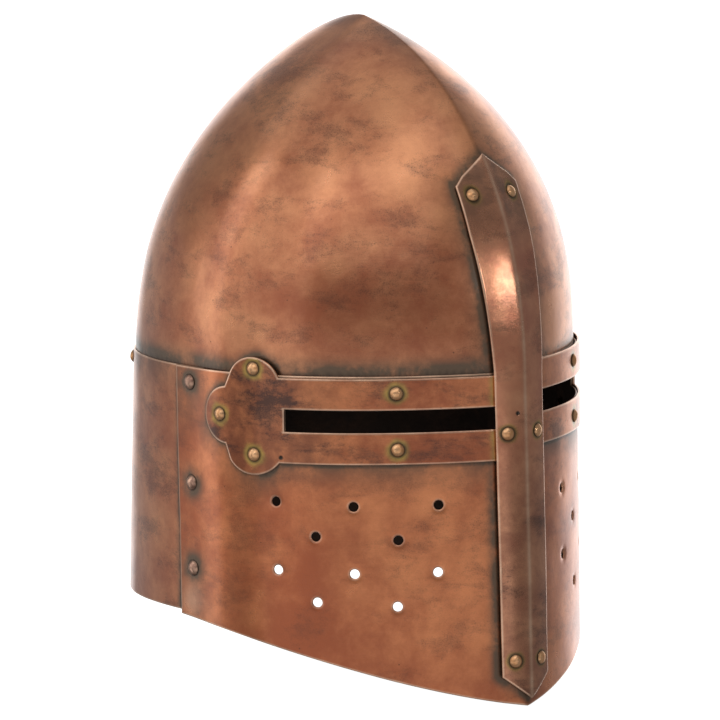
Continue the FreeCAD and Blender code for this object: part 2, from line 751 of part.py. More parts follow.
def liner(shanks):
    """Leather headband and petals inside the skull, drawn together by a lace."""
    strip = layer_between("headband_layer", dome, "headband", "under_headband")
    outline = [("-trim_reach", "headband_front"), ("trim_reach", "headband_back"),
               ("trim_reach", "headband_high"), ("-trim_reach", "headband_high")]
    trim = prism("headband_trim", "YZ_Plane", outline, "2 * trim_reach", start="-trim_reach")
    blank = combine("Part::Common", "headband_blank", strip, trim)
    nodes = {"liner_headband": combine("Part::Cut", "liner_headband", blank, shanks)}

    leather = layer_between("petal_layer", liner_dome, "petal", "under_petal")
    edge = ("cos(petal_angle / 2)", "sin(petal_angle / 2)")
    sector = [(f"{reach} * {edge[0]}", f"{sign} {reach} * {edge[1]}")
              for reach, sign in (("crown_hole", "-1 *"), ("trim_reach", "-1 *"),
                                  ("trim_reach", ""), ("crown_hole", ""))]
    for number in range(PETALS):
        turn = 360.0 / PETALS * (number + 0.5)
        wedge = prism(f"petal_trim_{number + 1}", "XY_Plane", sector, "petal_rise",
                      start="petal_low")
        wedge.Placement = Placement(Vector(0, 0, 0), Rotation(Vector(0, 0, 1), turn))
        name = f"liner_petal_{number + 1}"
        nodes[name] = combine("Part::Common", name, leather, wedge)

    lace = doc.addObject("Part::Torus", "liner_lace")
    lace.setExpression("Radius1", cells("crown_hole + 2"))
    lace.setExpression("Radius2", cells("lace_radius"))
    lace.setExpression("Placement.Base.z", cells("lace_height"))
    nodes["liner_lace"] = lace
    return nodes


def main():
    """Build every piece, check it and write it."""
    sets = rivet_sets()
    shanks = rivet_holes(sets)
    nodes = {}
    for group in (skull_halves(shanks), face_plate(shanks), back_plate(shanks),
                  eye_bands(shanks), nasal_bar(shanks), rivet_nodes(sets), liner(shanks)):
        nodes.update(group)
    doc.recompute()
    for item in doc.Objects:
        if "Invalid" in item.State or "Error" in item.State:
            raise RuntimeError(f"{item.Label} did not compute: {item.State}")
    os.makedirs("parts", exist_ok=True)
    home = Vector(0, size("middle_shift"), size("seam_height"))
    for name, node in nodes.items():
        node.Label = name
        node.Placement.Base = node.Placement.Base + home
        shape = node.Shape
        if shape.isNull() or not shape.isValid():
            raise RuntimeError(f"{name} is not a valid shape")
        shape.exportStep(f"parts/{name}.step")
        print(f"{name}: {len(shape.Solids)} solids, {shape.Volume / 1000:.2f} cm3")


main()
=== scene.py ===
"""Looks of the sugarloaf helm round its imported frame: raised sheets, straps, rivets and leather.

Lengths are millimetres in the helm's own frame, as in the design: heights from the seam (the
top edge of the lower plates), depths from the widest line, the wearer's right is -X. They
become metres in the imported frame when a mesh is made.
"""
import math
import bmesh
import bpy
import numpy as np
from mathutils import Matrix, Vector, noise
from mathutils.geometry import delaunay_2d_cdt
from mathutils.kdtree import KDTree

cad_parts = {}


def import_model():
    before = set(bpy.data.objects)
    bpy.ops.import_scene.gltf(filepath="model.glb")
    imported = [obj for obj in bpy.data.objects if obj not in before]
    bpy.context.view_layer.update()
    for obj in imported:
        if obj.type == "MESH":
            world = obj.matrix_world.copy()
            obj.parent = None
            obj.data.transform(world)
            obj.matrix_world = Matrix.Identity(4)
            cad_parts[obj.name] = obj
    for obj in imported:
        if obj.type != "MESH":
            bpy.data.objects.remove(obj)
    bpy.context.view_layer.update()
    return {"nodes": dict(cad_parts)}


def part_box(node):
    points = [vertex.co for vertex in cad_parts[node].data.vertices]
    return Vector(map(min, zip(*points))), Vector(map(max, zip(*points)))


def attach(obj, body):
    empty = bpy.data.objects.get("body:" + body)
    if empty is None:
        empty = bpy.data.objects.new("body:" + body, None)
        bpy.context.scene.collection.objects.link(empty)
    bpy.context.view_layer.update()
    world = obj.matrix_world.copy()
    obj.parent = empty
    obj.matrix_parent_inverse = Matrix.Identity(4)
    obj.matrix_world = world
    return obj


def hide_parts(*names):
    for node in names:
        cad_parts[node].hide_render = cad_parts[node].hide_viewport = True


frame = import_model()

METRE = 1000.0
# skull line and lower plates
HALF_WIDTH, FRONT_DEPTH, BACK_DEPTH = 110.0, 123.5, 129.0
SEAM_FULLNESS, CROWN_FULLNESS, BACK_POWER = 1.584, 1.213, 2.385
CROWN_RISE, CROWN_BACK = 178.5, 1.4
BROW_FULLNESS, BROW_POWER, NAPE_POWER = 1.283, 1.073, 1.526
CHEEK_FULLNESS, CHEEK_POWER = 9.4, 1.32
FRONT_SLOPE, SIDE_SLOPE, BACK_SLOPE = 0.0192, -0.0079, 0.0819
SHEET, STRAP, LEATHER = 1.2, 1.6, 2.4
SIDE_SEAM, LAP = 23.5, 22.0
CHEEK_DROP, JAW_CENTRE, JAW_DROP, BACK_DROP = -132.9, -484.0, -173.5, -130.9
CHIN_REACH, CHIN_DROP = -160.0, -193.0
SKULL_TUCK, SIGHT_TUCK, SIGHT_MARGIN = -14.0, -10.0, 7.0
LEFT_RISE, LEFT_TOP = 6.0, 5.0
BOTH = (("right", -1, 0.0), ("left", 1, LEFT_RISE))
# eye bands
SLOT_TOP, SLOT_BOTTOM, SLOT_END, SLOT_RELIEF, BRIDGE = -17.6, -29.2, -52.4, 0.8, 9.0
ARM_TOP, ARM_BOTTOM, ARM_ROOT = -1.2, -46.0, -49.6
LOBE_MID, NOTCH, NOTCH_TOP, NOTCH_BOTTOM = -21.3, -18.2, -7.4, -37.7
UPPER_LOBE, REAR_LOBE, LOWER_LOBE = -6.0, -19.0, -35.0
BAND_CREASE, BAND_START, BAND_RELIEF, ROOT_GIRTH, ROOT_LENGTH = -135.0, 0.3, 0.05, 92.0, 18.0
# nasal bar
BAR_TIP, BAR_SHOULDER, BAR_WAIST, BAR_FOOT, BAR_TOE = 111.5, 96.0, 72.0, -159.5, -171.5
BAR_TOP_HALF, BAR_MID_HALF, BAR_FOOT_HALF, BAR_EAR = 20.5, 16.4, 15.5, 5.0
BAR_REST, BAR_SEAT = 3.1, 0.6
BAR_DISH, BAR_DISH_REACH, BAR_DISH_TURN = 0.5, 21.0, 30.0
BAR_FACING = (0.55, -0.83, 0.0)
# holes and rivets, as (depth, height) in side view; the bar's as (half breadth, height) in front
# view, and those behind as turns in degrees from the wearer's left
HOLE_RADIUS, HOLE_POINTS, SHANK, UNDERCUT = 2.5, 26, 2.0, 0.12
BREATH_HOLES = [(-46.0, -66.3), (-80.5, -68.0), (-107.7, -67.6),
                (-65.0, -84.0), (-96.0, -85.6),
                (-46.6, -102.3), (-80.8, -103.2), (-107.7, -102.8),
                (-65.4, -118.5), (-95.8, -120.4)]
ARM_RIVETS = [(-96.5, -8.8), (-97.0, -38.2)]
UPPER_LOBE_RIVET = (-36.3, 2.9)
LOBE_RIVETS = [(-14.6, -22.4), (-36.0, -42.2)]
# rivets' shanks, from the sheet's outside to the tail
BAR_GRIPS, ARM_GRIPS, LOBE_GRIP = {"top": 4.4, "middle": 6.0, "bottom": 6.0}, (4.3, 3.1), 3.1
SEAM_TOP_GRIP, SEAM_GRIP, LINER_SIDE_GRIP, LINER_BACK_GRIP = 3.9, 2.7, 9.4, 6.4
SEAM_RIVETS = [(11.4, -8.2), (11.4, -61.5), (11.4, -107.0)]
BAR_RIVETS = {"top": (13.3, 91.3), "middle": (10.0, -31.8), "bottom": (8.5, -151.2)}
# centre of the painted sheen on each lower rear corner of the face plate, as (depth, height)
SHEEN_CORNER = (12.0, -124.0)
# a small pit in the right band's lower arm and one in the bar
BAND_PIT, BAR_PIT = (-50.5, -42.9), (4.4, -21.4)
BACK_RIVET_TURNS, BACK_RIVET_HEIGHT = [44.0, 90.0, 136.0], -5.0
HEAD, DOME, SEAM_HEAD, SEAM_DOME = 3.6, 1.9, 4.2, 2.2
TAIL, TAIL_HEIGHT = 3.0, 0.9
# liner
LINER_GAP, PETALS, PETAL_RISE, PETAL_LOW = 0.2, 8, 104.0, 13.5
HEADBAND_FRONT, HEADBAND_BACK, HEADBAND_HIGH = 8.9, -17.1, 27.0
CROWN_HOLE, PETAL_ANGLE, PETAL_SAG = 27.0, 41.0, 0.7 / 120
LACE_HEIGHT, LACE_RADIUS, LACE_TURNS, LACE_OUT = 99.0, 1.5, 26, 2.0
TRIM_REACH = 160.0
# folds are rounded over this distance from the crease; mesh rows beside folds and the weld
FOLD, FOLD_ROWS, WELD_ROWS = 1.8, [-1.6, -0.7, 0.0, 0.7, 1.6], [0.7, 1.5, 2.4]
# what draws a sheet down: depth, where it begins to fade and over what reach, then the radii of
# the mesh's rings round it and their points per millimetre of radius
RIVET_SINK = 0.22
SINKS = {"rivets": (RIVET_SINK, 0.0, 5.0, (2.9, 3.9, 4.9, 5.9, 7.0), 6),
         "pits": (0.5, 0.0, 0.7, (0.3, 0.7, 1.1, 1.6), 6),
         "holes": (0.32, HOLE_RADIUS, 1.8, (3.9, 4.6, 5.4, 6.4), 7)}
RING_POINTS, RIVET_CLEARANCE, POINT_CLEARANCE = 10, 7.6, 0.3
# the hammer's unevenness: height and size of the coarse and fine waves, and the fine ones' shift
COARSE_HEIGHT, COARSE_SIZE, FINE_HEIGHT, FINE_SIZE = 0.34, 42, 0.12, 17
OFFSET = Vector((7.3, 1.9, 4.4))
# the row beside each rim, the step along a fold's rows, a seam's middle height, and how far below
# a sheet's middle the axis counts as inside
GUARD, FOLD_STEP, SEAM_MIDDLE, INSIDE_DROP = 0.8, 1.5, -60.0, 40.0
# values stored on the meshes, which the materials read
MARKS = ("shine", "grime", "halo", "painted_shade", "umber")
# linear colours: patina, brassy tones round rivets, painted shade and dark pits, and the bright
# copper of worn rims and painted highlights
PATINA, BRASSY, OLIVE = (0.14, 0.11, 0.075), (0.6, 0.39, 0.1), (0.34, 0.215, 0.07)
SHADE, PIT_DARK, WEAR_AND_SHEEN_COLOUR = (0.04, 0.028, 0.02), (0.04, 0.025, 0.02), (1.0, 0.66, 0.46)
ORANGE, RUSSET = (0.87, 0.315, 0.13), (0.47, 0.125, 0.05)
# the camera: degrees, millimetres and the lens; the side shift and height that it aims at
VIEW_AZIMUTH, VIEW_ELEVATION, VIEW_ROLL = -39.17, 7.64, -0.73
VIEW_DISTANCE, VIEW_LENS = 3530.0, 331.02
VIEW_SHIFT, VIEW_HEIGHT = -4.642, -6.085
# brightness of the room and of the white wall behind; the wall's turn and edges in degrees
ROOM, WALL_LIGHT = 0.23, 1.5
WALL_TURN, WALL_ELEVATION, WALL_WHITE, WALL_EDGE = 173.0, 3.0, 18.0, 41.0
# metres from the helm to the lamps, and half the floor's breadth
LAMP_DISTANCE, FLOOR_REACH = 2.5, 6.0

plate_low, plate_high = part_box("back_plate")
HOME = np.array([0.0, plate_low.y * METRE - (SIDE_SEAM - LAP), plate_high.z * METRE])


# ---------------------------------------------------------------- the curved surfaces

def arc_ratio(t, fullness):
    """Breadth along an ellipse arc, from 1 at t=0 to 0 at t=1; over 1 it ends in a point."""
    return 1 - fullness + np.sqrt(np.maximum(fullness ** 2 - (2 * fullness - 1) * t * t, 0))


def arc_place(ratio, fullness):
    """The t at which arc_ratio gives this ratio."""
    return np.sqrt((fullness ** 2 - (ratio - 1 + fullness) ** 2) / (2 * fullness - 1))


def lengths(points):
    """Distance along a run of points."""
    return np.concatenate([[0], np.cumsum(np.linalg.norm(np.diff(points, axis=0), axis=1))])


# The girth is the distance round the section at the seam from the front crease.
ratios = np.linspace(1, 0, 4001)
front_girth = lengths(np.stack([HALF_WIDTH * arc_ratio(ratios, SEAM_FULLNESS),
                                FRONT_DEPTH * ratios], 1))
turns = np.linspace(0, math.pi / 2, 4001)
back_girth = front_girth[-1] + lengths(
    np.stack([HALF_WIDTH * np.cos(turns).clip(0) ** (2 / BACK_POWER),
              BACK_DEPTH * np.sin(turns) ** (2 / BACK_POWER)], 1))
WIDEST, GIRTH = front_girth[-1], back_girth[-1]


class Layer:
    """The outside of one layer of the helm, as places (girth, height) on it."""

    def __init__(self, side=0.0, front=0.0, back=0.0):
        self.grown = (side, front, back)

    def growth(self, z):
        """How far it lies outside the skull line: side, front, back, and at the crown."""
        return (*self.grown, 1.5 * min(self.grown))

    def section(self, z):
        """Half breadth, front and back depth, middle and front fullness at these heights."""
        side, front, back, top = self.growth(z)
        t = np.clip(z / (CROWN_RISE + top), 0, 1)
        wide = arc_ratio(t ** CHEEK_POWER, CHEEK_FULLNESS)
        brow = arc_ratio(t ** BROW_POWER, BROW_FULLNESS)
        nape = np.sqrt(np.maximum(1 - t ** NAPE_POWER, 0))
        down = -np.minimum(z, 0)
        middle = CROWN_BACK * (1 - wide)
        half = (HALF_WIDTH + side) * wide + down * SIDE_SLOPE
        fore = (middle - CROWN_BACK + (FRONT_DEPTH + front + CROWN_BACK) * brow
                + down * FRONT_SLOPE)
        aft = (CROWN_BACK - middle + (BACK_DEPTH + back - CROWN_BACK) * nape
               + down * BACK_SLOPE)
        fullness = SEAM_FULLNESS + (CROWN_FULLNESS - SEAM_FULLNESS) * t
        return half, fore, aft, middle, fullness

    def at(self, places):
        """Points of the surface at (girth, height), with the front fold rounded."""
        girth, z = places[:, 0], places[:, 1]
        half, fore, aft, middle, fullness = self.section(z)
        side, way = np.sign(girth), np.minimum(np.abs(girth), GIRTH)
        soft = np.where(way < FOLD, (way * way + FOLD * FOLD) / (2 * FOLD), way)
        ratio = np.interp(way, front_girth, ratios)
        turn = np.interp(way, back_girth, turns)
        behind = way > WIDEST
        x = half * np.where(behind, np.cos(turn).clip(0) ** (2 / BACK_POWER),
                            arc_ratio(ratio, fullness))
        y = np.where(behind, aft * np.sin(turn) ** (2 / BACK_POWER),
                     -fore * np.interp(soft, front_girth, ratios))
        return np.stack([side * x, middle + y, z], 1)

    def girth_at_depth(self, y, z):
        """Girth of the points with these depths, on the wearer's left."""
        _, fore, aft, middle, _ = self.section(z)
        y = y - middle
        front = np.interp(-np.clip(-y / fore, 0, 1), -ratios, front_girth)
        turn = np.arcsin(np.clip(y / aft, 0, 1) ** (BACK_POWER / 2))
        return np.where(y < 0, front, np.interp(turn, turns, back_girth))

    def girth_at_breadth(self, x, z):
        """Girth of the points of the front with these breadths, either side."""
        half, _, _, _, fullness = self.section(z)
        ratio = arc_place(np.abs(x) / half, fullness)
        return np.sign(x) * np.interp(-ratio, -ratios, front_girth)


class Bar(Layer):
    """The outside of the nasal bar, which stands off the skull more at its foot."""

    def growth(self, z):
        """More at its foot than at its tip, where it lies on the skull."""
        rest = BAR_REST + (BAR_SEAT - BAR_REST) * np.clip(z / BAR_TIP, 0, 1) + STRAP
        return rest + SHEET, rest, 0.0, rest


class Dome(Layer):
    """The lower and rounder dome of the liner's petals."""

    def section(self, z):
        """Half breadth, front and back depth, middle and front fullness at these heights."""
        side, front, back, _ = self.growth(z)
        t = np.clip(z / (PETAL_RISE + side), 0, 1)
        breadth = np.sqrt(1 - t * t)
        return ((HALF_WIDTH + side) * breadth, (FRONT_DEPTH + front) * breadth,
                (BACK_DEPTH + back) * breadth, 0 * t, SEAM_FULLNESS + 0 * t)


SKULL, BACK, FACE = Layer(), Layer(1.2, 1.2, 1.2), Layer(2.4, 1.2, 2.4)
BAND, BAR = Layer(4.0, 2.8, 4.0), Bar()
HEADBAND = Layer(*[-SHEET - LINER_GAP] * 3)
PETAL = Dome(*[-SHEET - 2 * LINER_GAP - 1.5 * LEATHER] * 3)

crown_heights = np.linspace(-30, CROWN_RISE, 3000)
brow_line = SKULL.section(crown_heights)[1]
crown_reach = lengths(np.stack([brow_line, crown_heights], 1)[::-1])


def skull_place(q):
    """The skull spread out flat: distance from the crown, front downwards, to a place."""
    reach = np.hypot(q[:, 0], q[:, 1])
    girth = np.arctan2(np.abs(q[:, 0]), -q[:, 1]) / math.pi * GIRTH
    side = np.where(q[:, 0] < 0, -1, 1)
    z = np.interp(reach, crown_reach, crown_heights[::-1])
    return np.stack([side * np.maximum(girth, 1e-6), z], 1)


def skull_flat(girth, z):
    """The flat point of the spread-out skull for a place."""
    reach = np.interp(z, crown_heights, crown_reach[::-1])
    turn = girth / GIRTH * math.pi
    return np.stack([reach * np.sin(turn), -reach * np.cos(turn)], -1)


# ---------------------------------------------------------------- outlines

def trace(corners, closed=True):
    """Runs of points from corner to corner. A corner with a third item starts an arc."""
    runs = []
    last = len(corners) if closed else len(corners) - 1
    for i in range(last):
        start = np.array(corners[i][:2], float)
        end = np.array(corners[(i + 1) % len(corners)][:2], float)
        steps = max(int(np.linalg.norm(end - start) / 0.4), 8)
        s = np.linspace(0, 1, steps + 1)[:, None]
        if len(corners[i]) == 2:
            runs.append(start + (end - start) * s)
            continue
        axis, place, ccw = corners[i][2]
        middle, chord = (start + end) / 2, end - start
        if axis == "u":
            centre = np.array([place, middle[1] - (place - middle[0]) * chord[0] / chord[1]])
        else:
            centre = np.array([middle[0] - (place - middle[1]) * chord[1] / chord[0], place])
        first, final = [math.atan2(*(p - centre)[::-1]) for p in (start, end)]
        sweep = (final - first) % math.tau if ccw else -((first - final) % math.tau)
        angles = first + sweep * s[:, 0]
        radius = np.linalg.norm(start - centre)
        runs.append(centre + radius * np.stack([np.cos(angles), np.sin(angles)], 1))
    return runs


def spaced(run, step):
    """A run again with even steps, without its last point."""
    along = lengths(run)
    count = max(int(round(along[-1] / step)), 1)
    places = np.linspace(0, along[-1], count + 1)[:-1]
    return np.stack([np.interp(places, along, run[:, i]) for i in (0, 1)], 1)


def laid(runs, girth_at, step):
    """Runs given in a view, as one loop of places on a layer."""
    return np.concatenate([spaced(np.stack([girth_at(run[:, 0], run[:, 1]), run[:, 1]], 1), step)
                           for run in runs])


def loop_on(layer, corners, step=1.2, closed=True):
    """An outline given in side view (depth, height), as a loop of places on a layer."""
    return laid(trace(corners, closed), layer.girth_at_depth, step)


def polygon(corners, step):
    """A loop straight from corner to corner."""
    return np.concatenate([spaced(np.array(edge), step)
                           for edge in zip(corners, np.roll(corners, -1, 0))])


def mirrored(loop):
    """The same loop on the other side."""
    return (loop * [-1, 1])[::-1]


def slopes(place, flat, step):
    """Unit normals of a surface from points a step to each side, outwards or inwards."""
    across = place(flat + [step, 0]) - place(flat - [step, 0])
    up = place(flat + [0, step]) - place(flat - [0, step])
    normal = np.cross(across, up)
    return normal / np.maximum(np.linalg.norm(normal, axis=1), 1e-9)[:, None]


def circle(centre, radius, count):
    """A round loop."""
    angles = np.arange(count) / count * math.tau
    return np.array(centre) + radius * np.stack([np.cos(angles), np.sin(angles)], 1)


def face_half(top_front):
    """Half the face plate from the crease along the lower edge to the top of the crease."""
    _, fore, _, _, _ = FACE.section(np.array([JAW_DROP]))
    share = (fore[0] - FRONT_DEPTH) / (-CHIN_REACH - FRONT_DEPTH)
    toe = JAW_DROP + (CHIN_DROP - JAW_DROP) * share
    path = loop_on(FACE, [(-FRONT_DEPTH, JAW_DROP, ("v", JAW_CENTRE, False)),
                          (SIDE_SEAM, CHEEK_DROP), (SIDE_SEAM, 0.0),
                          (-FRONT_DEPTH, top_front)], closed=False)
    start = FACE.girth_at_depth(np.array([-FRONT_DEPTH]), np.array([JAW_DROP]))[0]
    chin = spaced(np.array([[0.0, toe], [start, JAW_DROP]]), 1.2)
    end = FACE.girth_at_depth(np.array([-FRONT_DEPTH]), np.array([top_front]))[0]
    brow = spaced(np.array([[end, top_front], [0.0, top_front]]), 1.2)
    return np.concatenate([chin, path, brow, [[0.0, top_front]]])


def slot_loop(rise):
    """The eye slot cut in the face plate, on the wearer's left."""
    top, bottom = SLOT_TOP + SLOT_RELIEF + rise, SLOT_BOTTOM - SLOT_RELIEF + rise
    z = np.array([top, bottom])
    near = FACE.girth_at_breadth(np.array([BRIDGE, BRIDGE]), z)
    far = FACE.girth_at_depth(np.array([SLOT_END + SLOT_RELIEF] * 2), z)
    return polygon([[near[0], top], [far[0], top], [far[1], bottom], [near[1], bottom]], 1.2)


def band_loop(rise, layer=BAND):
    """A fork-shaped eye band, on the wearer's left."""
    outline = [(BAND_CREASE, ARM_TOP), (BAND_CREASE, SLOT_TOP), (SLOT_END, SLOT_TOP),
               (SLOT_END, SLOT_BOTTOM), (BAND_CREASE, SLOT_BOTTOM), (BAND_CREASE, ARM_BOTTOM),
               (ARM_ROOT, ARM_BOTTOM, ("v", LOWER_LOBE + rise, True)), (LOBE_MID, ARM_BOTTOM),
               (NOTCH, NOTCH_BOTTOM, ("u", REAR_LOBE, True)), (NOTCH, NOTCH_TOP),
               (LOBE_MID, ARM_TOP, ("v", UPPER_LOBE + rise, True)), (ARM_ROOT, ARM_TOP)]
    loop = loop_on(layer, [(c[0], c[1] + rise, *c[2:]) for c in outline], 0.8)
    loop[:, 0] = np.maximum(loop[:, 0], BAND_START)
    return loop


def bar_loop(layer=BAR):
    """The nasal bar, pointed at both ends, drawn in front view."""
    right = [(BAR_TOP_HALF - BAR_EAR, BAR_SHOULDER + BAR_EAR), (BAR_TOP_HALF, BAR_SHOULDER),
             (BAR_TOP_HALF, BAR_WAIST), (BAR_MID_HALF, 0.0), (BAR_FOOT_HALF, BAR_FOOT)]
    left = [(-x, z) for x, z in reversed(right)]
    runs = trace([(0.0, BAR_TOE)] + right[::-1] + [(0.0, BAR_TIP)] + left[::-1])
    return laid(runs, layer.girth_at_breadth, 0.8)


# ---------------------------------------------------------------- sheet metal

def inside(points, loop):
    """Which points lie inside a loop."""
    a, b = loop, np.roll(loop, -1, 0)
    result = np.zeros(len(points), bool)
    for start in range(0, len(points), 4000):
        x, y = points[start:start + 4000, 0, None], points[start:start + 4000, 1, None]
        crosses = (a[:, 1] > y) != (b[:, 1] > y)
        slope = (b[:, 0] - a[:, 0]) / np.where(b[:, 1] == a[:, 1], 1, b[:, 1] - a[:, 1])
        hits = crosses & (x < a[:, 0] + (y - a[:, 1]) * slope)
        result[start:start + 4000] = hits.sum(1) % 2 == 1
    return result


def area(loop):
    """Signed area, positive anticlockwise."""
    x, y = loop[:, 0], loop[:, 1]
    return 0.5 * np.sum(x * np.roll(y, -1) - y * np.roll(x, -1))


def inset_by(loop):
    """For each point of a loop, the step that moves the loop 1 mm to its left."""
    back, ahead = loop - np.roll(loop, 1, 0), np.roll(loop, -1, 0) - loop
    sides = []
    for edge in (back, ahead):
        edge = edge / np.linalg.norm(edge, axis=1)[:, None]
        sides.append(np.stack([-edge[:, 1], edge[:, 0]], 1))
    both = sides[0] + sides[1]
    scale = 2 / np.maximum((both ** 2).sum(1), 1.0)
    return both * scale[:, None]


def distances(points, others):
    """Distance of each point to the nearest of the others."""
    tree = KDTree(len(others))
    for i, other in enumerate(others):
        tree.insert((*other, 0), i)
    tree.balance()
    return np.array([tree.find((*point, 0))[2] for point in points])


def far_from(points, others, distance):
    """The points that are not near any of the others."""
    return points[distances(points, others) > distance]


def grid(loop, spacing):
    """Staggered rows of points over the box of a loop."""
    low, high = loop.min(0), loop.max(0)
    rows = np.arange(low[1], high[1], spacing * 0.866)
    points = []
    for i, y in enumerate(rows):
        xs = np.arange(low[0] + spacing / 2 * (i % 2), high[0], spacing)
        points.append(np.stack([xs, np.full_like(xs, y)], 1))
    return np.concatenate(points)


class Sheet:
    """A closed piece of sheet: outer face, rounded rims and inner face."""

    def __init__(self, name, place, loops, thick, spacing, rounding=0.4, folds=(), rivets=(),
                 pits=(), punched=(), hole_shine=1.0, welded=None):
        self.name, self.place, self.thick, self.rounding = name, place, thick, rounding
        self.sunk = {"rivets": rivets, "pits": pits, "holes": punched}
        self.loops, self.steps, self.bright = [], [], []
        for i, loop in enumerate(loops):
            wanted = 1 if i == 0 else -1
            loop = loop if area(loop) * wanted > 0 else loop[::-1]
            step = inset_by(loop)
            # each rim is lightened, worn copper in part and painted highlight in part; the holes'
            # rims by hole_shine
            bright = np.full(len(loop), 1.0 if i == 0 else hole_shine)
            if welded is not None:
                step[welded(loop)] = 0
                bright[welded(loop)] = 0
            self.loops.append(loop)
            self.steps.append(step)
            self.bright.append(bright)
        self.fill(spacing, folds)
        self.build()

    def fill(self, spacing, folds):
        """Points inside the rim: a guard row, rings, the fold's rows, then a grid."""
        self.rims = [loop + step * self.rounding for loop, step in zip(self.loops, self.steps)]
        extra = [np.concatenate([loop + step * (self.rounding + GUARD)
                                 for loop, step in zip(self.loops, self.steps)])]
        for kind, centres in self.sunk.items():
            radii, density = SINKS[kind][3:]
            extra += [circle(centre, radius, max(int(radius * density), RING_POINTS))
                      for centre in centres for radius in radii]
        rows = np.arange(self.loops[0][:, 1].min(), self.loops[0][:, 1].max(), FOLD_STEP)
        extra += [np.stack([np.full_like(rows, x), rows], 1) for x in folds]
        points = np.concatenate(self.rims)
        for group in extra:
            group = group[self.within(group)]
            points = np.concatenate([points, far_from(group, points, POINT_CLEARANCE)])
        field = grid(self.loops[0], spacing)
        field = field[self.within(field)]
        if len(self.sunk["rivets"]):
            field = far_from(field, self.sunk["rivets"], RIVET_CLEARANCE)
        self.points = np.concatenate([points, far_from(field, points, spacing * 0.6)])
        self.rim_counts = [len(rim) for rim in self.rims]

    def within(self, points):
        """Which points lie between the sheet's rims."""
        result = inside(points, self.rims[0])
        for hole in self.rims[1:]:
            result &= ~inside(points, hole)
        return result

    def triangles(self):
        """Triangles of the flat sheet, reached from its middle without crossing a rim."""
        edges, start = [], 0
        for count in self.rim_counts:
            edges += [(start + i, start + (i + 1) % count) for i in range(count)]
            start += count
        flat = [Vector(p) for p in self.points.tolist()]
        made = delaunay_2d_cdt(flat, edges, [], 0, 1e-7, True)
        source = [ids[0] for ids in made[3]]
        faces = [tuple(source[v] for v in face) for face in made[2]]
        rims = {frozenset(edge) for edge in edges}
        beside = {}
        for i, face in enumerate(faces):
            for edge in zip(face, face[1:] + face[:1]):
                if frozenset(edge) not in rims:
                    beside.setdefault(frozenset(edge), []).append(i)
        corners = self.points[np.array(faces)]
        a, b = corners[:, 1] - corners[:, 0], corners[:, 2] - corners[:, 0]
        size = np.abs(a[:, 0] * b[:, 1] - a[:, 1] * b[:, 0])
        first = int(np.argmax(size * self.within(corners.mean(1))))
        found, queue = {first}, [first]
        while queue:
            face = faces[queue.pop()]
            for edge in zip(face, face[1:] + face[:1]):
                for other in beside.get(frozenset(edge), ()):
                    if other not in found:
                        found.add(other)
                        queue.append(other)
        return np.array([faces[i] for i in sorted(found)])

    def normals(self, flat):
        """Outward normals of the surface."""
        normal = slopes(self.place, flat, 0.3)
        middle = self.place(self.points.mean(0)[None])[0]
        facing = (normal * (self.place(flat) - [0, 0, middle[2] - INSIDE_DROP])).sum(1)
        return normal * np.where(facing < 0, -1, 1)[:, None]

    def solid_points(self, flat, depth):
        """Points at a depth under the outer face."""
        surface, normal = self.place(flat), self.normals(flat)
        return surface + normal * (relief(surface) - self.sink(flat) - depth)[:, None]

    def sink(self, flat):
        """How far the sheet is drawn down round its rivets and holes and in its pits."""
        total = np.zeros(len(flat))
        for kind, centres in self.sunk.items():
            if len(centres):
                depth, start, reach = SINKS[kind][:3]
                total += depth * fade(distances(flat, centres) - start, reach)
        return total

    def build(self):
        """Make the mesh."""
        faces = self.triangles()
        count = len(self.points)
        thick, soft = self.thick, self.rounding
        bend = soft * (1 - math.sqrt(0.5))
        rows = [(bend, bend), (0.0, soft), (0.0, thick - soft), (bend, thick - bend)]
        vertices = [self.solid_points(self.points, 0.0)]
        shine = [np.zeros(count)]
        start = 0
        for bright in self.bright:
            shine[0][start:start + len(bright)] = bright
            start += len(bright)
        side_faces, offset, start = [], count, 0
        bottom = count + len(rows) * sum(self.rim_counts)
        for loop, step, bright in zip(self.loops, self.steps, self.bright):
            loop_size = len(loop)
            levels = [start + np.arange(loop_size)]
            for inset, depth in rows:
                vertices.append(self.solid_points(loop + step * inset, depth))
                shine.append(bright)
                levels.append(offset + np.arange(loop_size))
                offset += loop_size
            levels.append(bottom + start + np.arange(loop_size))
            for upper, lower in zip(levels, levels[1:]):
                side_faces.append(np.stack([upper, lower, np.roll(lower, -1),
                                            np.roll(upper, -1)], 1))
            start += loop_size
        vertices.append(self.solid_points(self.points, thick))
        shine.append(np.zeros(count))
        self.vertices = np.concatenate(vertices)
        self.shine = np.concatenate(shine)
        self.flat = np.concatenate([self.points] + [np.repeat(loop[None], len(rows), 0)
                                                    .reshape(-1, 2) for loop in self.loops]
                                   + [self.points])
        corners = self.vertices[faces]
        upward = np.cross(corners[:, 1] - corners[:, 0], corners[:, 2] - corners[:, 0])
        outward = (upward * self.normals(self.points[faces[:, 0]])).sum(1)
        faces[outward < 0] = faces[outward < 0][:, ::-1]
        self.inner_start = len(faces) + sum(len(f) for f in side_faces)
        sides = np.concatenate(side_faces)
        self.faces = faces.tolist() + sides.tolist() + (faces[:, ::-1] + bottom).tolist()

    def object(self, outer, inner, marks=lambda flat: {}):
        """The Blender object with its materials and the marks that they read."""
        found = {word: np.zeros(len(self.flat)) for word in MARKS}
        found.update({"shine": self.shine, **marks(self.flat)})
        return made(self.name, self.vertices, self.faces, [outer, inner], found,
                    self.inner_start)


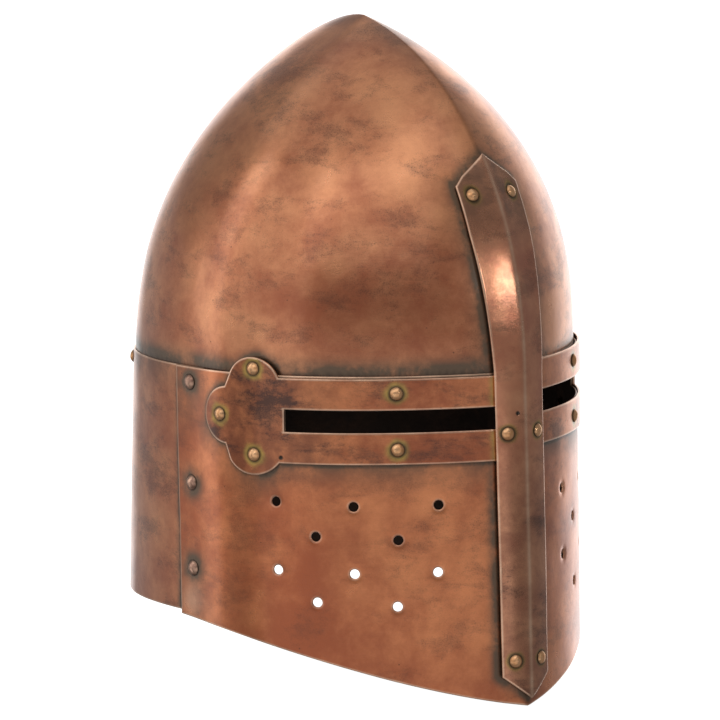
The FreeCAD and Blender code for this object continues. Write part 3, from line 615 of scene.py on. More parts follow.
def made(name, vertices, faces, materials, marks=None, inner_start=math.inf, sharp=0.9):
    """An object of a mesh given in millimetres, with its sharp corners marked.

    Faces from inner_start on have the second material.
    """
    mesh = bpy.data.meshes.new(name)
    mesh.from_pydata(((np.array(vertices) + HOME) / METRE).tolist(), [], faces)
    for material in materials:
        mesh.materials.append(material)
    slots = np.arange(len(faces)) >= inner_start
    mesh.polygons.foreach_set("material_index", slots.astype(np.int32))
    for word, values in (marks or {}).items():
        attribute = mesh.attributes.new(word, "FLOAT", "POINT")
        attribute.data.foreach_set("value", np.asarray(values, np.float32))
    work = bmesh.new()
    work.from_mesh(mesh)
    bmesh.ops.recalc_face_normals(work, faces=work.faces)
    for edge in work.edges:
        edge.smooth = not edge.is_manifold or edge.calc_face_angle() < sharp
    for face in work.faces:
        face.smooth = True
    work.to_mesh(mesh)
    work.free()
    piece = bpy.data.objects.new(name, mesh)
    bpy.context.scene.collection.objects.link(piece)
    return piece


def net(rows, columns, round_rows=False, round_columns=True):
    """Faces between the vertices of a net, row by row, joined up where it is round."""
    faces = []
    for i in range(rows if round_rows else rows - 1):
        for j in range(columns if round_columns else columns - 1):
            below, beside = (i + 1) % rows * columns, (j + 1) % columns
            faces.append((i * columns + j, i * columns + beside, below + beside, below + j))
    return faces


def relief(points):
    """Unevenness left by the hammer, as heights in millimetres."""
    return np.array([COARSE_HEIGHT * noise.noise(Vector(p) / COARSE_SIZE)
                     + FINE_HEIGHT * noise.noise(Vector(p) / FINE_SIZE + OFFSET)
                     for p in points])


def fade(distance, reach):
    """1 at no distance, falling smoothly to 0 some way past the reach."""
    return np.exp(-(np.maximum(distance, 0) / reach) ** 2)


def ramp(value, start, end):
    """0 up to the start, 1 from the end on, straight between them."""
    return np.clip((value - start) / (end - start), 0, 1)


# ---------------------------------------------------------------- materials

class Nodes:
    """A node tree, written as expressions."""

    def __init__(self, owner):
        owner.use_nodes = True
        self.owner, self.tree = owner, owner.node_tree
        self.place = self.new("ShaderNodeTexCoord").outputs["Object"]

    def new(self, kind, inputs=(), **settings):
        """A node with its settings, its inputs linked to outputs or set to plain values."""
        node = self.tree.nodes.new(kind)
        for key, setting in settings.items():
            setattr(node, key, setting)
        self.feed(node, inputs)
        return node

    def feed(self, node, inputs):
        """Link or set a node's inputs, given by their names or numbers."""
        for word, value in dict(inputs).items():
            if isinstance(value, bpy.types.NodeSocket):
                self.tree.links.new(value, node.inputs[word])
            else:
                node.inputs[word].default_value = value

    def surface(self, **inputs):
        """Feed the material's shader, and give back the material."""
        named = {word.replace("_", " "): value for word, value in inputs.items()}
        self.feed(self.tree.nodes["Principled BSDF"], named)
        return self.owner

    def math(self, operation, *values, clamp=False):
        """The result of an operation on values."""
        return self.new("ShaderNodeMath", enumerate(values), operation=operation,
                        use_clamp=clamp).outputs[0]

    def times(self, *values, clamp=False):
        """A product."""
        return self.math("MULTIPLY", *values, clamp=clamp)

    def plus(self, *values, clamp=False):
        """A sum."""
        return self.math("ADD", *values, clamp=clamp)

    def noise(self, scale, detail=4.0, rough=0.6, warp=0.0, stretch=(1, 1, 1), shift=0.0):
        """Noise over object space, whose scale is in cells per metre."""
        place = self.new("ShaderNodeMapping", {
            "Vector": self.place, "Scale": stretch,
            "Location": (shift, shift * 0.7, -shift)}).outputs[0]
        return self.new("ShaderNodeTexNoise", {
            "Vector": place, "Scale": scale, "Detail": detail, "Roughness": rough,
            "Distortion": warp}).outputs["Fac"]

    def spots(self, scale, radius):
        """Small round pits, 1 in their middle."""
        cells = self.new("ShaderNodeTexVoronoi", {"Vector": self.place, "Scale": scale})
        return self.between(cells.outputs["Distance"], radius, 0.0)

    def between(self, value, low, high, out_low=0.0, out_high=1.0):
        """Map low..high smoothly to out_low..out_high."""
        return self.new("ShaderNodeMapRange", enumerate((value, low, high, out_low, out_high)),
                        interpolation_type="SMOOTHSTEP").outputs[0]

    def mark(self, name):
        """A value stored on the mesh."""
        return self.new("ShaderNodeAttribute", attribute_name=name).outputs["Fac"]

    def mix(self, amount, *colours):
        """A colour between two colours."""
        low, high = [colour if isinstance(colour, bpy.types.NodeSocket) else (*colour, 1)
                     for colour in colours]
        return self.new("ShaderNodeMix", {0: amount, 6: low, 7: high},
                        data_type="RGBA").outputs[2]

    def bump(self, height, distance, strength=1.0, **normal):
        """A normal tilted by a height, over another normal if one is given."""
        return self.new("ShaderNodeBump", {"Height": height, "Distance": distance,
                                           "Strength": strength, **normal}).outputs[0]


def material(name):
    """The node tree of a new material."""
    return Nodes(bpy.data.materials.new(name))


def copper(name, clear=(0.87, 0.375, 0.18), toned=(0.46, 0.14, 0.066),
           dark=(0.11, 0.05, 0.036), shift=0.0, rough=0.3, brown=0.5, stains=0.4,
           specks=0.45, patch=40, texture=0.00009, dimples=0.0004):
    """Antiqued copper: worn bright and painted with highlights in places, toned brown, with dark
    patina in corners and painted shade where parts meet.
    """
    n = material(name)
    broad = n.noise(9, 3, 0.5, 0.1, shift=shift)
    cloud = n.noise(patch, 5, 0.65, 0.15, shift=shift + 3)
    smear = n.noise(26, 6, 0.7, 0.2, stretch=(1, 1, 2.2), shift=shift + 6)
    grain = n.noise(1500, 3, 0.6, shift=shift)
    brushed = n.noise(75, 5, 0.75, 0.1, stretch=(1, 1, 14), shift=shift)
    tone = n.plus(n.times(broad, 0.55), n.times(cloud, 0.45))
    colour = n.mix(n.between(tone, brown - 0.15, brown + 0.15), clear, toned)
    stain = n.between(smear, 0.5, 0.66)
    speck = n.times(n.between(grain, 0.48, 0.72), n.between(smear, 0.44, 0.62, 0.2, 1))
    dirty = n.plus(n.times(stain, stains), n.times(speck, specks))
    umber = n.times(n.mark("umber"), n.between(cloud, 0.3, 0.62, 0.3, 0.55))
    colour = n.mix(n.plus(dirty, umber, clamp=True), colour, dark)
    grime = n.times(n.mark("grime"), n.between(cloud, 0.3, 0.6, 0.45, 1.3), clamp=True)
    colour = n.mix(n.times(grime, 0.9), colour, PATINA)
    brassy = n.mix(n.between(cloud, 0.35, 0.62), BRASSY, OLIVE)
    colour = n.mix(n.times(n.mark("halo"), 0.95), colour, brassy)
    # painted shade: under strap edges, round rivet heads, in gaps and in pits
    colour = n.mix(n.mark("painted_shade"), colour, SHADE)
    pits = n.times(n.spots(85, 0.055), n.between(broad, 0.42, 0.55))
    colour = n.mix(n.times(pits, 0.85), colour, PIT_DARK)
    # rims, the bar's fold and the face plate's lower rear corners are lightened: worn copper in
    # part, painted highlight in part
    wear_and_sheen = n.times(n.mark("shine"), n.between(cloud, 0.3, 0.6, 0.95, 0.55))
    colour = n.mix(wear_and_sheen, colour, WEAR_AND_SHEEN_COLOUR)
    roughness = n.plus(n.times(cloud, 0.16), rough - 0.08)
    for cause, amount in ((grime, 0.14), (speck, 0.1)):
        roughness = n.plus(roughness, n.times(cause, amount))
    height = n.plus(n.times(grain, 0.3), n.times(brushed, 0.8))
    height = n.math("SUBTRACT", height, n.times(pits, 1.6))
    normal = n.bump(cloud, dimples, 0.5, Normal=n.bump(height, texture))
    return n.surface(Base_Color=colour, Metallic=1.0, Roughness=roughness, Normal=normal,
                     Coat_Weight=0.55, Coat_Roughness=0.16)


def near_black_inside(name):
    """The unpolished inside of the metal, dark, and made near black as painted shade for what
    shows through the slot and holes.
    """
    n = material(name)
    cloud = n.noise(60, 5, 0.65, 0.5)
    colour = n.mix(n.between(cloud, 0.35, 0.7), (0.03, 0.018, 0.013), (0.075, 0.04, 0.026))
    return n.surface(Base_Color=colour, Metallic=0.7, Normal=n.bump(n.noise(380, 3), 0.0002),
                     Roughness=n.between(cloud, 0.3, 0.7, 0.5, 0.7))


def rivet_metal(name, bright, dull, rough=0.24):
    """Rivet heads, bright copper with duller patches, darkened towards the foot by painted shade.
    """
    n = material(name)
    cloud = n.noise(260, 4, 0.6, 0.4)
    colour = n.mix(n.between(cloud, 0.35, 0.68), bright, dull)
    colour = n.mix(n.mark("painted_shade"), colour, (0.05, 0.032, 0.02))
    return n.surface(Base_Color=colour, Metallic=1.0, Normal=n.bump(cloud, 0.0004, 0.6),
                     Roughness=n.between(cloud, 0.3, 0.7, rough, rough + 0.15))


def leather_hide(name, light, dark):
    """Vegetable-tanned leather with grain and darker edges."""
    n = material(name)
    cloud = n.noise(35, 5, 0.6, 0.5)
    grain = n.new("ShaderNodeTexVoronoi", {"Vector": n.place, "Scale": 700},
                  feature="DISTANCE_TO_EDGE")
    creases = n.between(grain.outputs["Distance"], 0.0, 0.25)
    colour = n.mix(n.between(cloud, 0.3, 0.7), light, dark)
    colour = n.mix(n.between(creases, 0.0, 1.0, 0.35, 0.0), colour, (0.03, 0.015, 0.008))
    colour = n.mix(n.times(n.mark("shine"), 0.6), colour, (0.06, 0.03, 0.016))
    height = n.plus(creases, n.times(cloud, 2.0))
    return n.surface(Base_Color=colour, Roughness=n.between(cloud, 0.3, 0.7, 0.5, 0.68),
                     Normal=n.bump(height, 0.0003))


# ---------------------------------------------------------------- pieces

# Each marks function gives strengths from 0 to 1 at flat places; their distances are millimetres.

def rivet_marks(flat, rivets, halo=7.0):
    """Brassy halo round each rivet, and a ring of painted shade just outside its head."""
    near = distances(flat, rivets)
    wobble = np.array([noise.noise(Vector((p[0], p[1], 5.0)) / 4) for p in flat])
    return {"halo": ramp(halo + 1.1 * wobble - near, 0, 2.2),
            "painted_shade": ramp(near, HEAD + 0.7, HEAD + 0.1)}


def darken_pits(found, flat, pits):
    """Make the pits of a sheet dark."""
    if pits:
        found["painted_shade"] = np.maximum(found["painted_shade"], ramp(distances(flat, pits), 1.5, 0.9))


def on_side(layer, place, side=1):
    """Flat place of a point given by depth and height."""
    depth, z = place
    return (side * float(layer.girth_at_depth(np.array(depth), np.array(z))), z)


def on_front(layer, place, side=1):
    """Flat place of a point given by breadth and height."""
    breadth, z = place
    return (float(layer.girth_at_breadth(np.array(side * breadth), np.array(z))), z)


def back_place(turn):
    """Flat place of a back rivet, turned from the wearer's left side round the back."""
    quarter = min(turn, 180 - turn)
    girth = float(np.interp(math.radians(quarter), turns, back_girth))
    return (girth if turn <= 90 else -girth), BACK_RIVET_HEIGHT


def band_rivets(layer, side, rise):
    """Places of the five rivets of an eye band."""
    places = ARM_RIVETS + [UPPER_LOBE_RIVET] + LOBE_RIVETS
    return [on_side(layer, (depth, z + rise), side) for depth, z in places]


def sided(loop, side):
    """A loop on the wearer's right (-1) or left (1)."""
    return loop if side > 0 else mirrored(loop)


def standing(piece, node):
    """Put a piece in the place of its CAD node."""
    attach(piece, "root")
    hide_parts(node)


def covers():
    """Outlines on the lower plates and skull under which patina gathers."""
    bands = [sided(band_loop(rise, FACE), side) for _, side, rise in BOTH]
    return bands, bar_loop(FACE)


def skull_half(word, side, metal, dark):
    """One raised half of the skull."""
    girth = np.linspace(0, math.pi, 700) / math.pi * GIRTH
    front = SKULL.at(np.stack([girth, np.zeros_like(girth)], 1))[:, 1] < SLOT_END + SIGHT_MARGIN
    low = np.where(front & (side > 0), SIGHT_TUCK, SKULL_TUCK)
    rim = spaced(skull_flat(girth, low), 1.6)
    top = skull_flat(np.array([GIRTH]), np.array([SKULL_TUCK]))[0]
    bottom = skull_flat(np.array([0.0]), np.array([low[0]]))[0]
    weld = spaced(np.array([top, bottom]), 1.6)
    weld[:, 0] = 0.0
    loop = np.concatenate([rim, weld])
    loop[:, 0] = np.maximum(loop[:, 0], 0)

    def place(flat):
        """A point of this half, not past the weld."""
        flat = np.stack([np.maximum(flat[:, 0], 0), flat[:, 1]], 1)
        return SKULL.at(skull_place(flat)) * [side, 1, 1]

    sheet = Sheet(f"skull_{word}", place, [loop], SHEET, spacing=2.9, folds=WELD_ROWS,
                  welded=lambda points: points[:, 0] < 1e-6)
    bands, bar = covers()
    band, bar = bands[0 if side < 0 else 1] * [side, 1], bar * [side, 1]

    def marks(flat):
        """Patina over the seam, round the band's lobe, beside the bar and at the crown, and a
        painted shadow line just above the lower plates.
        """
        places = skull_place(flat)
        z = places[:, 1]
        seam = fade(z - 2.0, 5.5)
        near_bar = distances(places, bar)
        near_band = distances(places, band)
        beside = 0.4 * fade(near_bar, 9.0) * (z < 100)
        crown = 0.45 * fade(CROWN_RISE - z, 24) * fade(flat[:, 0], 26)
        grime = np.maximum.reduce([seam, fade(near_bar, 2.8), fade(near_band, 3.2)])
        return {"grime": np.clip(grime + beside + crown, 0, 1),
                "painted_shade": 0.6 * fade(z - 0.4, 0.9)}

    standing(sheet.object(metal, dark, marks), f"skull_{word}_half")


def face_plate(metal, dark):
    """One sheet folded at the crease, with eye slots and breath holes."""
    left, right = face_half(LEFT_TOP), face_half(0.0)
    outline = np.concatenate([left, mirrored(right)])
    keep = np.linalg.norm(outline - np.roll(outline, 1, 0), axis=1) > 1e-6
    slots = [sided(slot_loop(rise), side) for _, side, rise in BOTH]
    seams, punched, wear_and_sheen = [[on_side(FACE, place, side) for _, side, _ in BOTH
                               for place in places]
                              for places in (SEAM_RIVETS, BREATH_HOLES, [SHEEN_CORNER])]
    holes = [circle(centre, HOLE_RADIUS, HOLE_POINTS) for centre in punched]
    sheet = Sheet("face_plate_sheet", FACE.at, [outline[keep]] + slots + holes, SHEET,
                  spacing=2.3, rounding=0.45, folds=FOLD_ROWS, rivets=seams, hole_shine=0.5,
                  punched=punched)
    bands, bar = covers()
    around = np.concatenate(bands)
    rear = on_side(FACE, (SIDE_SEAM, SEAM_MIDDLE))[0]

    def marks(flat):
        """Patina round the bands, bar and side seam, painted shade round the seam rivets and under
        the bands' edges, a brown rear corner, and the rims' brightness with a painted sheen on
        each lower rear corner.
        """
        z, edge = flat[:, 1], rear - np.abs(flat[:, 0])
        band, seam = distances(flat, around), distances(flat, seams)
        grime = np.maximum.reduce([fade(band, 3.4), fade(distances(flat, bar), 3.2),
                                   0.55 * fade(band, 10) * ramp(z, -20, -30),
                                   fade(seam - 3.5, 5.5),
                                   0.6 * ramp(z, -42, -12) * fade(edge - 8, 16)])
        # painted shade round the seam rivets and just below the bands' edges
        painted_shade = np.maximum(ramp(seam, SEAM_HEAD + 0.7, SEAM_HEAD), 0.6 * fade(band - 0.3, 0.9))
        umber = 0.7 * fade(edge - 12, 22) * ramp(z, -88, -118)
        # a painted sheen on each lower rear corner
        shine = np.maximum(sheet.shine, 0.55 * fade(distances(flat, wear_and_sheen), 8.0))
        return {"grime": grime, "painted_shade": painted_shade, "umber": umber, "shine": shine}

    standing(sheet.object(metal, dark, marks), "face_plate")


def back_plate(metal, dark):
    """One bent sheet behind, its ends under the face plate."""
    end = np.full(2, SIDE_SEAM - LAP)
    left = np.stack([BACK.girth_at_depth(end, np.array([0.0, BACK_DROP])), [0, BACK_DROP]], 1)
    right = (left * [-1, 1] + [2 * GIRTH, 0])[::-1]
    outline = polygon(np.concatenate([left, right]), 1.4)

    def place(flat):
        """Round the back from the wearer's left to right."""
        past = flat[:, 0] > GIRTH
        girth = np.where(past, flat[:, 0] - 2 * GIRTH, flat[:, 0])
        return BACK.at(np.stack([girth, flat[:, 1]], 1))

    rivets = [(girth % (2 * GIRTH), z) for girth, z in map(back_place, BACK_RIVET_TURNS)]
    sheet = Sheet("back_plate_sheet", place, [outline], SHEET, spacing=3.0, rounding=0.35,
                  rivets=rivets)
    seam = on_side(BACK, (SIDE_SEAM, SEAM_MIDDLE))[0]

    def marks(flat):
        """Patina under the top edge and by the face plate."""
        edge = np.minimum(flat[:, 0], 2 * GIRTH - flat[:, 0]) - seam
        found = rivet_marks(flat, rivets, 6.0)
        found["grime"] = np.maximum(fade(edge - 0.5, 2.4), 0.45 * fade(-flat[:, 1], 12))
        # painted shadow along the face plate's rear edge
        found["painted_shade"] = np.maximum(found["painted_shade"], 0.8 * fade(edge - 0.3, 1.0))
        return found

    standing(sheet.object(metal, dark, marks), "back_plate")


def eye_band(word, side, rise, metal, dark):
    """A fork-shaped strap with a trefoil end."""
    rivets = band_rivets(BAND, side, rise)
    pits = [on_side(BAND, BAND_PIT, side)] if side < 0 else []
    sheet = Sheet(f"eye_band_{word}_strap", BAND.at, [sided(band_loop(rise), side)],
                  STRAP - BAND_RELIEF, spacing=1.7, rivets=rivets, pits=pits)
    bar = bar_loop(BAND)

    def marks(flat):
        """Brassy halos round the rivets and beside the nasal bar, and a brown trefoil."""
        found = rivet_marks(flat, rivets)
        found["halo"] = np.maximum(found["halo"], 0.8 * fade(distances(flat, bar), 1.6))
        found["umber"] = 0.25 + 0.75 * ramp(flat[:, 0] * side, ROOT_GIRTH,
                                            ROOT_GIRTH + ROOT_LENGTH)
        darken_pits(found, flat, pits)
        return found

    standing(sheet.object(metal, dark, marks), f"eye_band_{word}")


def dished_bar(flat):
    """The bar's outside, each half a little dished, and below the brow a little crowned."""
    across = ramp(np.abs(flat[:, 0]), 0, BAR_DISH_REACH)
    depth = BAR_DISH * np.sin(math.pi * across) * np.clip(flat[:, 1] / BAR_DISH_TURN, -1, 1)
    away = np.tile(BAR_FACING, (len(flat), 1))
    away[:, 0] *= np.sign(flat[:, 0])
    return BAR.at(flat) - away * depth[:, None]


def nasal_bar(metal, dark):
    """The folded bar over the crease."""
    rivets = [on_front(BAR, place, side) for place in BAR_RIVETS.values() for side in (-1, 1)]
    pits = [on_front(BAR, BAR_PIT, -1)]
    sheet = Sheet("nasal_bar_strap", dished_bar, [bar_loop()], STRAP, spacing=1.8,
                  rounding=0.45, folds=FOLD_ROWS, rivets=rivets, pits=pits)

    def marks(flat):
        """Halos round the rivets, a brown foot, patina at the top, and the fold lightened, partly
        as wear and partly as a painted highlight along the ridge.
        """
        beside, z = np.abs(flat[:, 0]), flat[:, 1]
        found = rivet_marks(flat, rivets, 5.9)
        found["umber"] = 0.7 * ramp(z, -25, -75)
        found["grime"] = 0.5 * ramp(z, 62, 82) * (1 - fade(beside, 2.0))
        # a painted highlight along the fold, with the rims' brightness
        found["shine"] = np.maximum(sheet.shine, 0.9 * fade(beside, 1.1))
        darken_pits(found, flat, pits)
        return found

    standing(sheet.object(metal, dark, marks), "nasal_bar")


# ---------------------------------------------------------------- rivets

def rivet_profile(head, dome, grip):
    """A rivet's outline as (radius, height), from the top of its head to its peened tail."""
    ball = (head ** 2 + dome ** 2) / (2 * dome)
    profile, steps = [(0.0, dome + 0.02)], 8
    for i in range(1, steps + 1):
        r = head * math.sin(math.pi / 2 * i / steps)
        z = dome - ball + math.sqrt(max(ball ** 2 - r * r, 0))
        profile.append((r * (1.0 + 0.05 * (1 - r / head)), z + 0.1))
    end = -grip - TAIL_HEIGHT
    return profile + [(head - 0.05, -UNDERCUT), (SHANK, -UNDERCUT), (SHANK, -grip),
                      (TAIL, -grip), (TAIL * 0.86, -grip - TAIL_HEIGHT * 0.75),
                      (TAIL * 0.5, end), (0.0, end)]


class Rivets:
    """One piece with all the rivets of a node."""

    def __init__(self, name):
        self.vertices, self.faces, self.painted_shade = [], [], []
        self.seed = sum(ord(letter) for letter in name)

    def add(self, place, flat, grip, head=HEAD, dome=DOME):
        """A rivet at a flat place of a surface, with a grip length to its peened tail."""
        flat, count, start = np.array([flat]), 28, len(self.vertices)
        point, normal = place(flat)[0], slopes(place, flat, 0.5)[0]
        if normal[:2] @ point[:2] < 0:
            normal = -normal
        point = point + normal * (relief(point[None])[0] - RIVET_SINK)
        turn = np.array(Vector((0, 0, 1)).rotation_difference(Vector(normal)).to_matrix())
        lean = noise.noise(Vector(point) * 3.1)
        profile = rivet_profile(head, dome, grip)
        for r, z in profile[1:-1]:
            for angle in np.arange(count) * math.tau / count:
                way = np.array([math.cos(angle), math.sin(angle)])
                dent = noise.noise(Vector((*way * r, self.seed + start)) / 2.4)
                wide = 1 + 0.03 * noise.noise(Vector((*way, self.seed + start)))
                lift = 0.17 * dent + 0.03 * lean if z > 0.2 else 0
                self.vertices.append(point + turn @ [*way * r * wide, z + lift])
                # painted shade: the shank and tail dark, the head darker towards its foot
                self.painted_shade.append(1.0 if z < 0.35 else max(0.0, 1.1 - z) * 0.8)
        rings = len(profile) - 2
        self.faces += [tuple(start + v for v in face) for face in net(rings, count)]
        for z, ring in ((profile[0][1], 0), (profile[-1][1], rings - 1)):
            rim, middle = start + ring * count, len(self.vertices)
            self.vertices.append(point + turn @ [0, 0, z])
            self.painted_shade.append(0.0)
            self.faces += [(middle, rim + j, rim + (j + 1) % count) for j in range(count)]
        self.seed += 11


def rivet_piece(kind, word, metal, places):
    """The rivets of one node: a surface, a flat place and a grip each, perhaps a head's size."""
    name = f"rivets_{kind}_{word}"
    rivets = Rivets(name)
    for place in places:
        rivets.add(*place)
    piece = made(name, rivets.vertices, rivets.faces, [metal], {"painted_shade": rivets.painted_shade},
                 sharp=1.1)
    standing(piece, f"{kind}_rivets_{word}")


def all_rivets(bright, seam_metal):
    """Every rivet node again, with hammered heads."""
    for word, place in BAR_RIVETS.items():
        rivet_piece("nasal", word, bright, [(dished_bar, on_front(BAR, place, side),
                                             BAR_GRIPS[word]) for side in (-1, 1)])
    crowns = []
    for word, side, rise in BOTH:
        upper_arm, lower_arm, crown, *lobes = band_rivets(BAND, side, rise)
        rivet_piece("lobe", word, bright, [(BAND.at, lobe, LOBE_GRIP) for lobe in lobes])
        rivet_piece("arm", word, bright, [(BAND.at, arm, grip) for arm, grip
                                          in zip((upper_arm, lower_arm), ARM_GRIPS)])
        grips = [SEAM_TOP_GRIP if z > SKULL_TUCK else SEAM_GRIP for _, z in SEAM_RIVETS]
        rivet_piece("seam", word, seam_metal,
                    [(FACE.at, on_side(FACE, place, side), grip, SEAM_HEAD, SEAM_DOME)
                     for place, grip in zip(SEAM_RIVETS, grips)])
        crowns.append((BAND.at, crown, LINER_SIDE_GRIP))
    rivet_piece("liner", "side", bright, crowns)
    rivet_piece("liner", "back", bright, [(BACK.at, back_place(turn), LINER_BACK_GRIP)
                                          for turn in BACK_RIVET_TURNS])


# ---------------------------------------------------------------- leather liner

def headband(leather):
    """A leather strap round the inside of the skull, its ends butted behind."""
    girth = np.linspace(-GIRTH, GIRTH, 600)
    depth = HEADBAND.at(np.stack([girth, np.zeros_like(girth)], 1))[:, 1]
    low = np.interp(depth, [-TRIM_REACH, TRIM_REACH], [HEADBAND_FRONT, HEADBAND_BACK])
    corners = [[GIRTH, low[-1]], [GIRTH, HEADBAND_HIGH], [-GIRTH, HEADBAND_HIGH],
               [-GIRTH, low[0]]]
    parts = [spaced(np.stack([girth, low], 1), 2.0)]
    parts += [spaced(np.array(run), 2.0) for run in zip(corners, corners[1:])]
    sheet = Sheet("liner_headband_strap", HEADBAND.at, [np.concatenate(parts)], LEATHER,
                  spacing=3.4, rounding=0.8)
    standing(sheet.object(leather, leather), "liner_headband")


def petal(number, leather):
    """A leather petal, narrower at the lace, as a surface given its thickness."""
    columns, rows = 25, 45
    around = np.linspace(-GIRTH, GIRTH, 1201)
    base = PETAL.at(np.stack([around, np.zeros_like(around)], 1))
    spread, middle = math.radians(PETAL_ANGLE / 2), math.tau / PETALS * (number - 0.5)
    lean = np.linspace(-spread, spread, columns)
    bearing = (middle + math.pi / 2 + lean + math.pi) % math.tau - math.pi
    girth = np.interp(bearing, np.arctan2(base[:, 0], -base[:, 1]), around)
    reach = np.linalg.norm(PETAL.at(np.stack([girth, 0 * girth], 1))[:, :2], axis=1)
    rise = PETAL_RISE + PETAL.grown[0]
    foot = math.asin(PETAL_LOW / rise)
    tip = np.arccos(CROWN_HOLE * math.cos(spread) / (reach * np.cos(lean)))
    share = np.linspace(0, 1, rows)[:, None]
    height = rise * np.sin(foot + (tip - foot) * share)
    points = PETAL.at(np.stack([np.tile(girth, rows), height.ravel()], 1))
    sag = np.array([noise.noise(Vector(point) / 26 + OFFSET * number) for point in points])
    fullest = np.repeat(np.sin(math.pi * share), columns)
    points *= (1 - PETAL_SAG * sag * fullest)[:, None]
    piece = made(f"petal_{number}", points, net(rows, columns, round_columns=False), [leather])
    solid = piece.modifiers.new("thickness", "SOLIDIFY")
    solid.thickness = LEATHER / METRE
    solid.offset = 0
    soft = piece.modifiers.new("edges", "BEVEL")
    soft.width = 0.8 / METRE
    soft.segments = 3
    soft.angle_limit = math.radians(50)
    standing(piece, f"liner_petal_{number}")


def lace(leather):
    """A twisted lace through the petals' tips."""
    steps, count = 520, 16
    along, round_it = np.meshgrid(np.arange(steps) / steps * math.tau,
                                  np.arange(count) / count * math.tau, indexing="ij")
    reach = LACE_RADIUS * (0.86 + 0.14 * np.cos(2 * round_it - LACE_TURNS * along))
    out = CROWN_HOLE + LACE_OUT + reach * np.cos(round_it)
    points = np.stack([out * np.cos(along), out * np.sin(along),
                       LACE_HEIGHT + reach * np.sin(round_it)], 2).reshape(-1, 3)
    piece = made("lace", points, net(steps, count, round_rows=True), [leather])
    standing(piece, "liner_lace")


def liner():
    """The leather pieces, and brassy washers under the peened rivets."""
    strap = leather_hide("strap_leather", (0.42, 0.2, 0.09), (0.24, 0.11, 0.05))
    soft = leather_hide("petal_leather", (0.52, 0.29, 0.15), (0.34, 0.17, 0.08))
    headband(strap)
    for number in range(1, PETALS + 1):
        petal(number, soft)
    lace(strap)
    washers = frame["nodes"]["liner_washers"]
    brass = rivet_metal("washer_brass", (0.72, 0.46, 0.2), (0.4, 0.25, 0.11), 0.3)
    washers.data.materials.clear()
    washers.data.materials.append(brass)


# ---------------------------------------------------------------- stage, light and camera

def towards(azimuth, elevation):
    """Unit vector from the helm towards a direction, azimuth 0 is in front."""
    a, e = math.radians(azimuth), math.radians(elevation)
    return Vector((math.sin(a) * math.cos(e), -math.cos(a) * math.cos(e), math.sin(e)))


def metres(point):
    """A point of the helm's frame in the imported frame."""
    return Vector(((np.array(point) + HOME) / METRE).tolist())


def camera():
    """The camera a long way off, slightly rolled."""
    back = towards(VIEW_AZIMUTH, VIEW_ELEVATION)
    across = Vector((0, 0, 1)).cross(back).normalized()
    target = metres((0, 0, VIEW_HEIGHT)) + across * (VIEW_SHIFT / METRE)
    up = back.cross(across)
    roll = Matrix.Rotation(math.radians(VIEW_ROLL), 3, back)
    across, up = roll @ across, roll @ up
    data = bpy.data.cameras.new("camera")
    data.lens = VIEW_LENS
    data.sensor_width = 36.0
    data.clip_end = 100.0
    item = bpy.data.objects.new("camera", data)
    turn = Matrix((across, up, back)).transposed()
    item.matrix_world = (Matrix.Translation(target + back * (VIEW_DISTANCE / METRE))
                         @ turn.to_4x4())
    bpy.context.scene.collection.objects.link(item)
    bpy.context.scene.camera = item


def softbox(name, azimuth, elevation, width, height, radiance, tint=(1, 1, 1)):
    """A rectangular light of a width and height in degrees, seen from the helm.

    Its azimuth is taken from the camera, to the right.
    """
    data = bpy.data.lights.new(name, "AREA")
    data.shape = "RECTANGLE"
    data.size, data.size_y = [2 * LAMP_DISTANCE * math.tan(math.radians(angle / 2))
                              for angle in (width, height)]
    data.energy = radiance * math.pi * data.size * data.size_y
    data.color = tint
    item = bpy.data.objects.new(name, data)
    aim = metres((0, 0, 0))
    item.location = aim + towards(VIEW_AZIMUTH + azimuth, elevation) * LAMP_DISTANCE
    item.rotation_euler = (item.location - aim).to_track_quat("Z", "Y").to_euler()
    item.visible_camera = False
    bpy.context.scene.collection.objects.link(item)


def floor():
    """A plain pale floor, white to its edge, which doesn't show in the metal."""
    mesh = bpy.data.meshes.new("floor")
    mesh.from_pydata([(x * FLOOR_REACH, y * FLOOR_REACH, 0)
                      for x, y in ((-1, -1), (1, -1), (1, 1), (-1, 1))], [], [(0, 1, 2, 3)])
    paint = material("pale_floor")
    mesh.materials.append(paint.surface(Base_Color=(0.8, 0.8, 0.8, 1), Roughness=0.9,
                                        Emission_Color=(1, 1, 1, 1), Emission_Strength=1.0))
    item = bpy.data.objects.new("floor", mesh)
    item.location.z = -0.0002
    item.visible_glossy = False
    item.visible_diffuse = False
    bpy.context.scene.collection.objects.link(item)


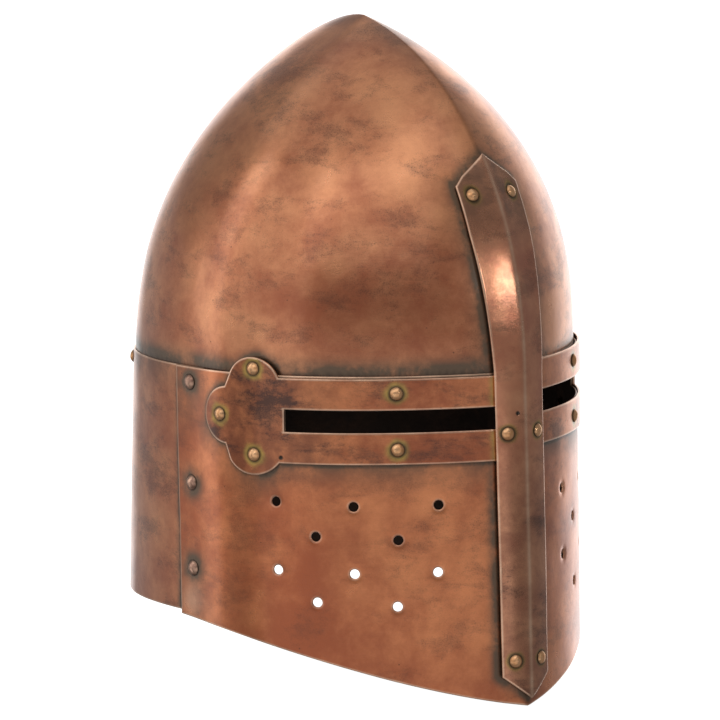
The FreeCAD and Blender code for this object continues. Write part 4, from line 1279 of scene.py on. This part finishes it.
def world():
    """A white wall behind the helm and a dim room round it; the eye sees only white."""
    bpy.context.scene.world = bpy.data.worlds.new("studio")
    n = Nodes(bpy.context.scene.world)
    way = n.new("ShaderNodeTexCoord").outputs["Generated"]
    wall = towards(VIEW_AZIMUTH + WALL_TURN, WALL_ELEVATION)
    dot = n.new("ShaderNodeVectorMath", {0: way, 1: wall}, operation="DOT_PRODUCT")
    edge, white = [math.cos(math.radians(angle)) for angle in (WALL_EDGE, WALL_WHITE)]
    light = n.between(dot.outputs["Value"], edge, white, ROOM, WALL_LIGHT)
    path = n.new("ShaderNodeLightPath").outputs["Is Camera Ray"]
    n.feed(n.tree.nodes["Background"], {"Color": (1, 1, 1, 1),
                                        "Strength": n.math("MAXIMUM", path, light)})


def lights():
    """Soft studio light: a broad box on the left, a strip beside it and boxes overhead."""
    softbox("broad", -62, 21, 58, 54, 0.48)
    softbox("strip", -95, 4, 15, 84, 1.0)
    softbox("rear", -124, -4, 40, 32, 0.18)
    softbox("brow", -10, 38, 56, 38, 0.52)
    softbox("brow_right", 32, 60, 30, 22, 0.34)
    softbox("top", -70, 82, 84, 62, 0.3)
    softbox("apron", -10, -22, 100, 38, 0.42)
    softbox("spark", 40, 15, 2.5, 8, 11.0)
    softbox("glint", -46, 50, 5, 5, 1.2)


# ---------------------------------------------------------------- assembly

def main():
    """Build everything."""
    dark = near_black_inside("inside_metal")
    skull_metal = copper("skull_copper", stains=0.34)
    plate_metal = copper("plate_copper", ORANGE, RUSSET, shift=4.4, brown=0.47, stains=0.25,
                         specks=0.3)
    back_metal = copper("back_copper", shift=5.0)
    strap_metal = copper("strap_copper", ORANGE, RUSSET, shift=8.0, brown=0.47, stains=0.5,
                         specks=0.3, patch=75)
    bar_metal = copper("bar_copper", (0.95, 0.45, 0.25), (0.6, 0.22, 0.125), shift=11.0,
                       rough=0.22, stains=0.35, specks=0.3, patch=60, texture=0.00001,
                       dimples=0.00005)
    for word, side, _ in BOTH:
        skull_half(word, side, skull_metal, dark)
    face_plate(plate_metal, dark)
    back_plate(back_metal, dark)
    for word, side, rise in BOTH:
        eye_band(word, side, rise, strap_metal, dark)
    nasal_bar(bar_metal, dark)
    bright = rivet_metal("rivet_copper", (1.0, 0.58, 0.31), (0.85, 0.42, 0.19), 0.24)
    dull = rivet_metal("seam_rivet_copper", (0.8, 0.5, 0.36), (0.36, 0.2, 0.15), 0.24)
    all_rivets(bright, dull)
    liner()
    floor()
    world()
    lights()
    camera()
    bpy.context.scene.view_settings.view_transform = "Standard"


main()
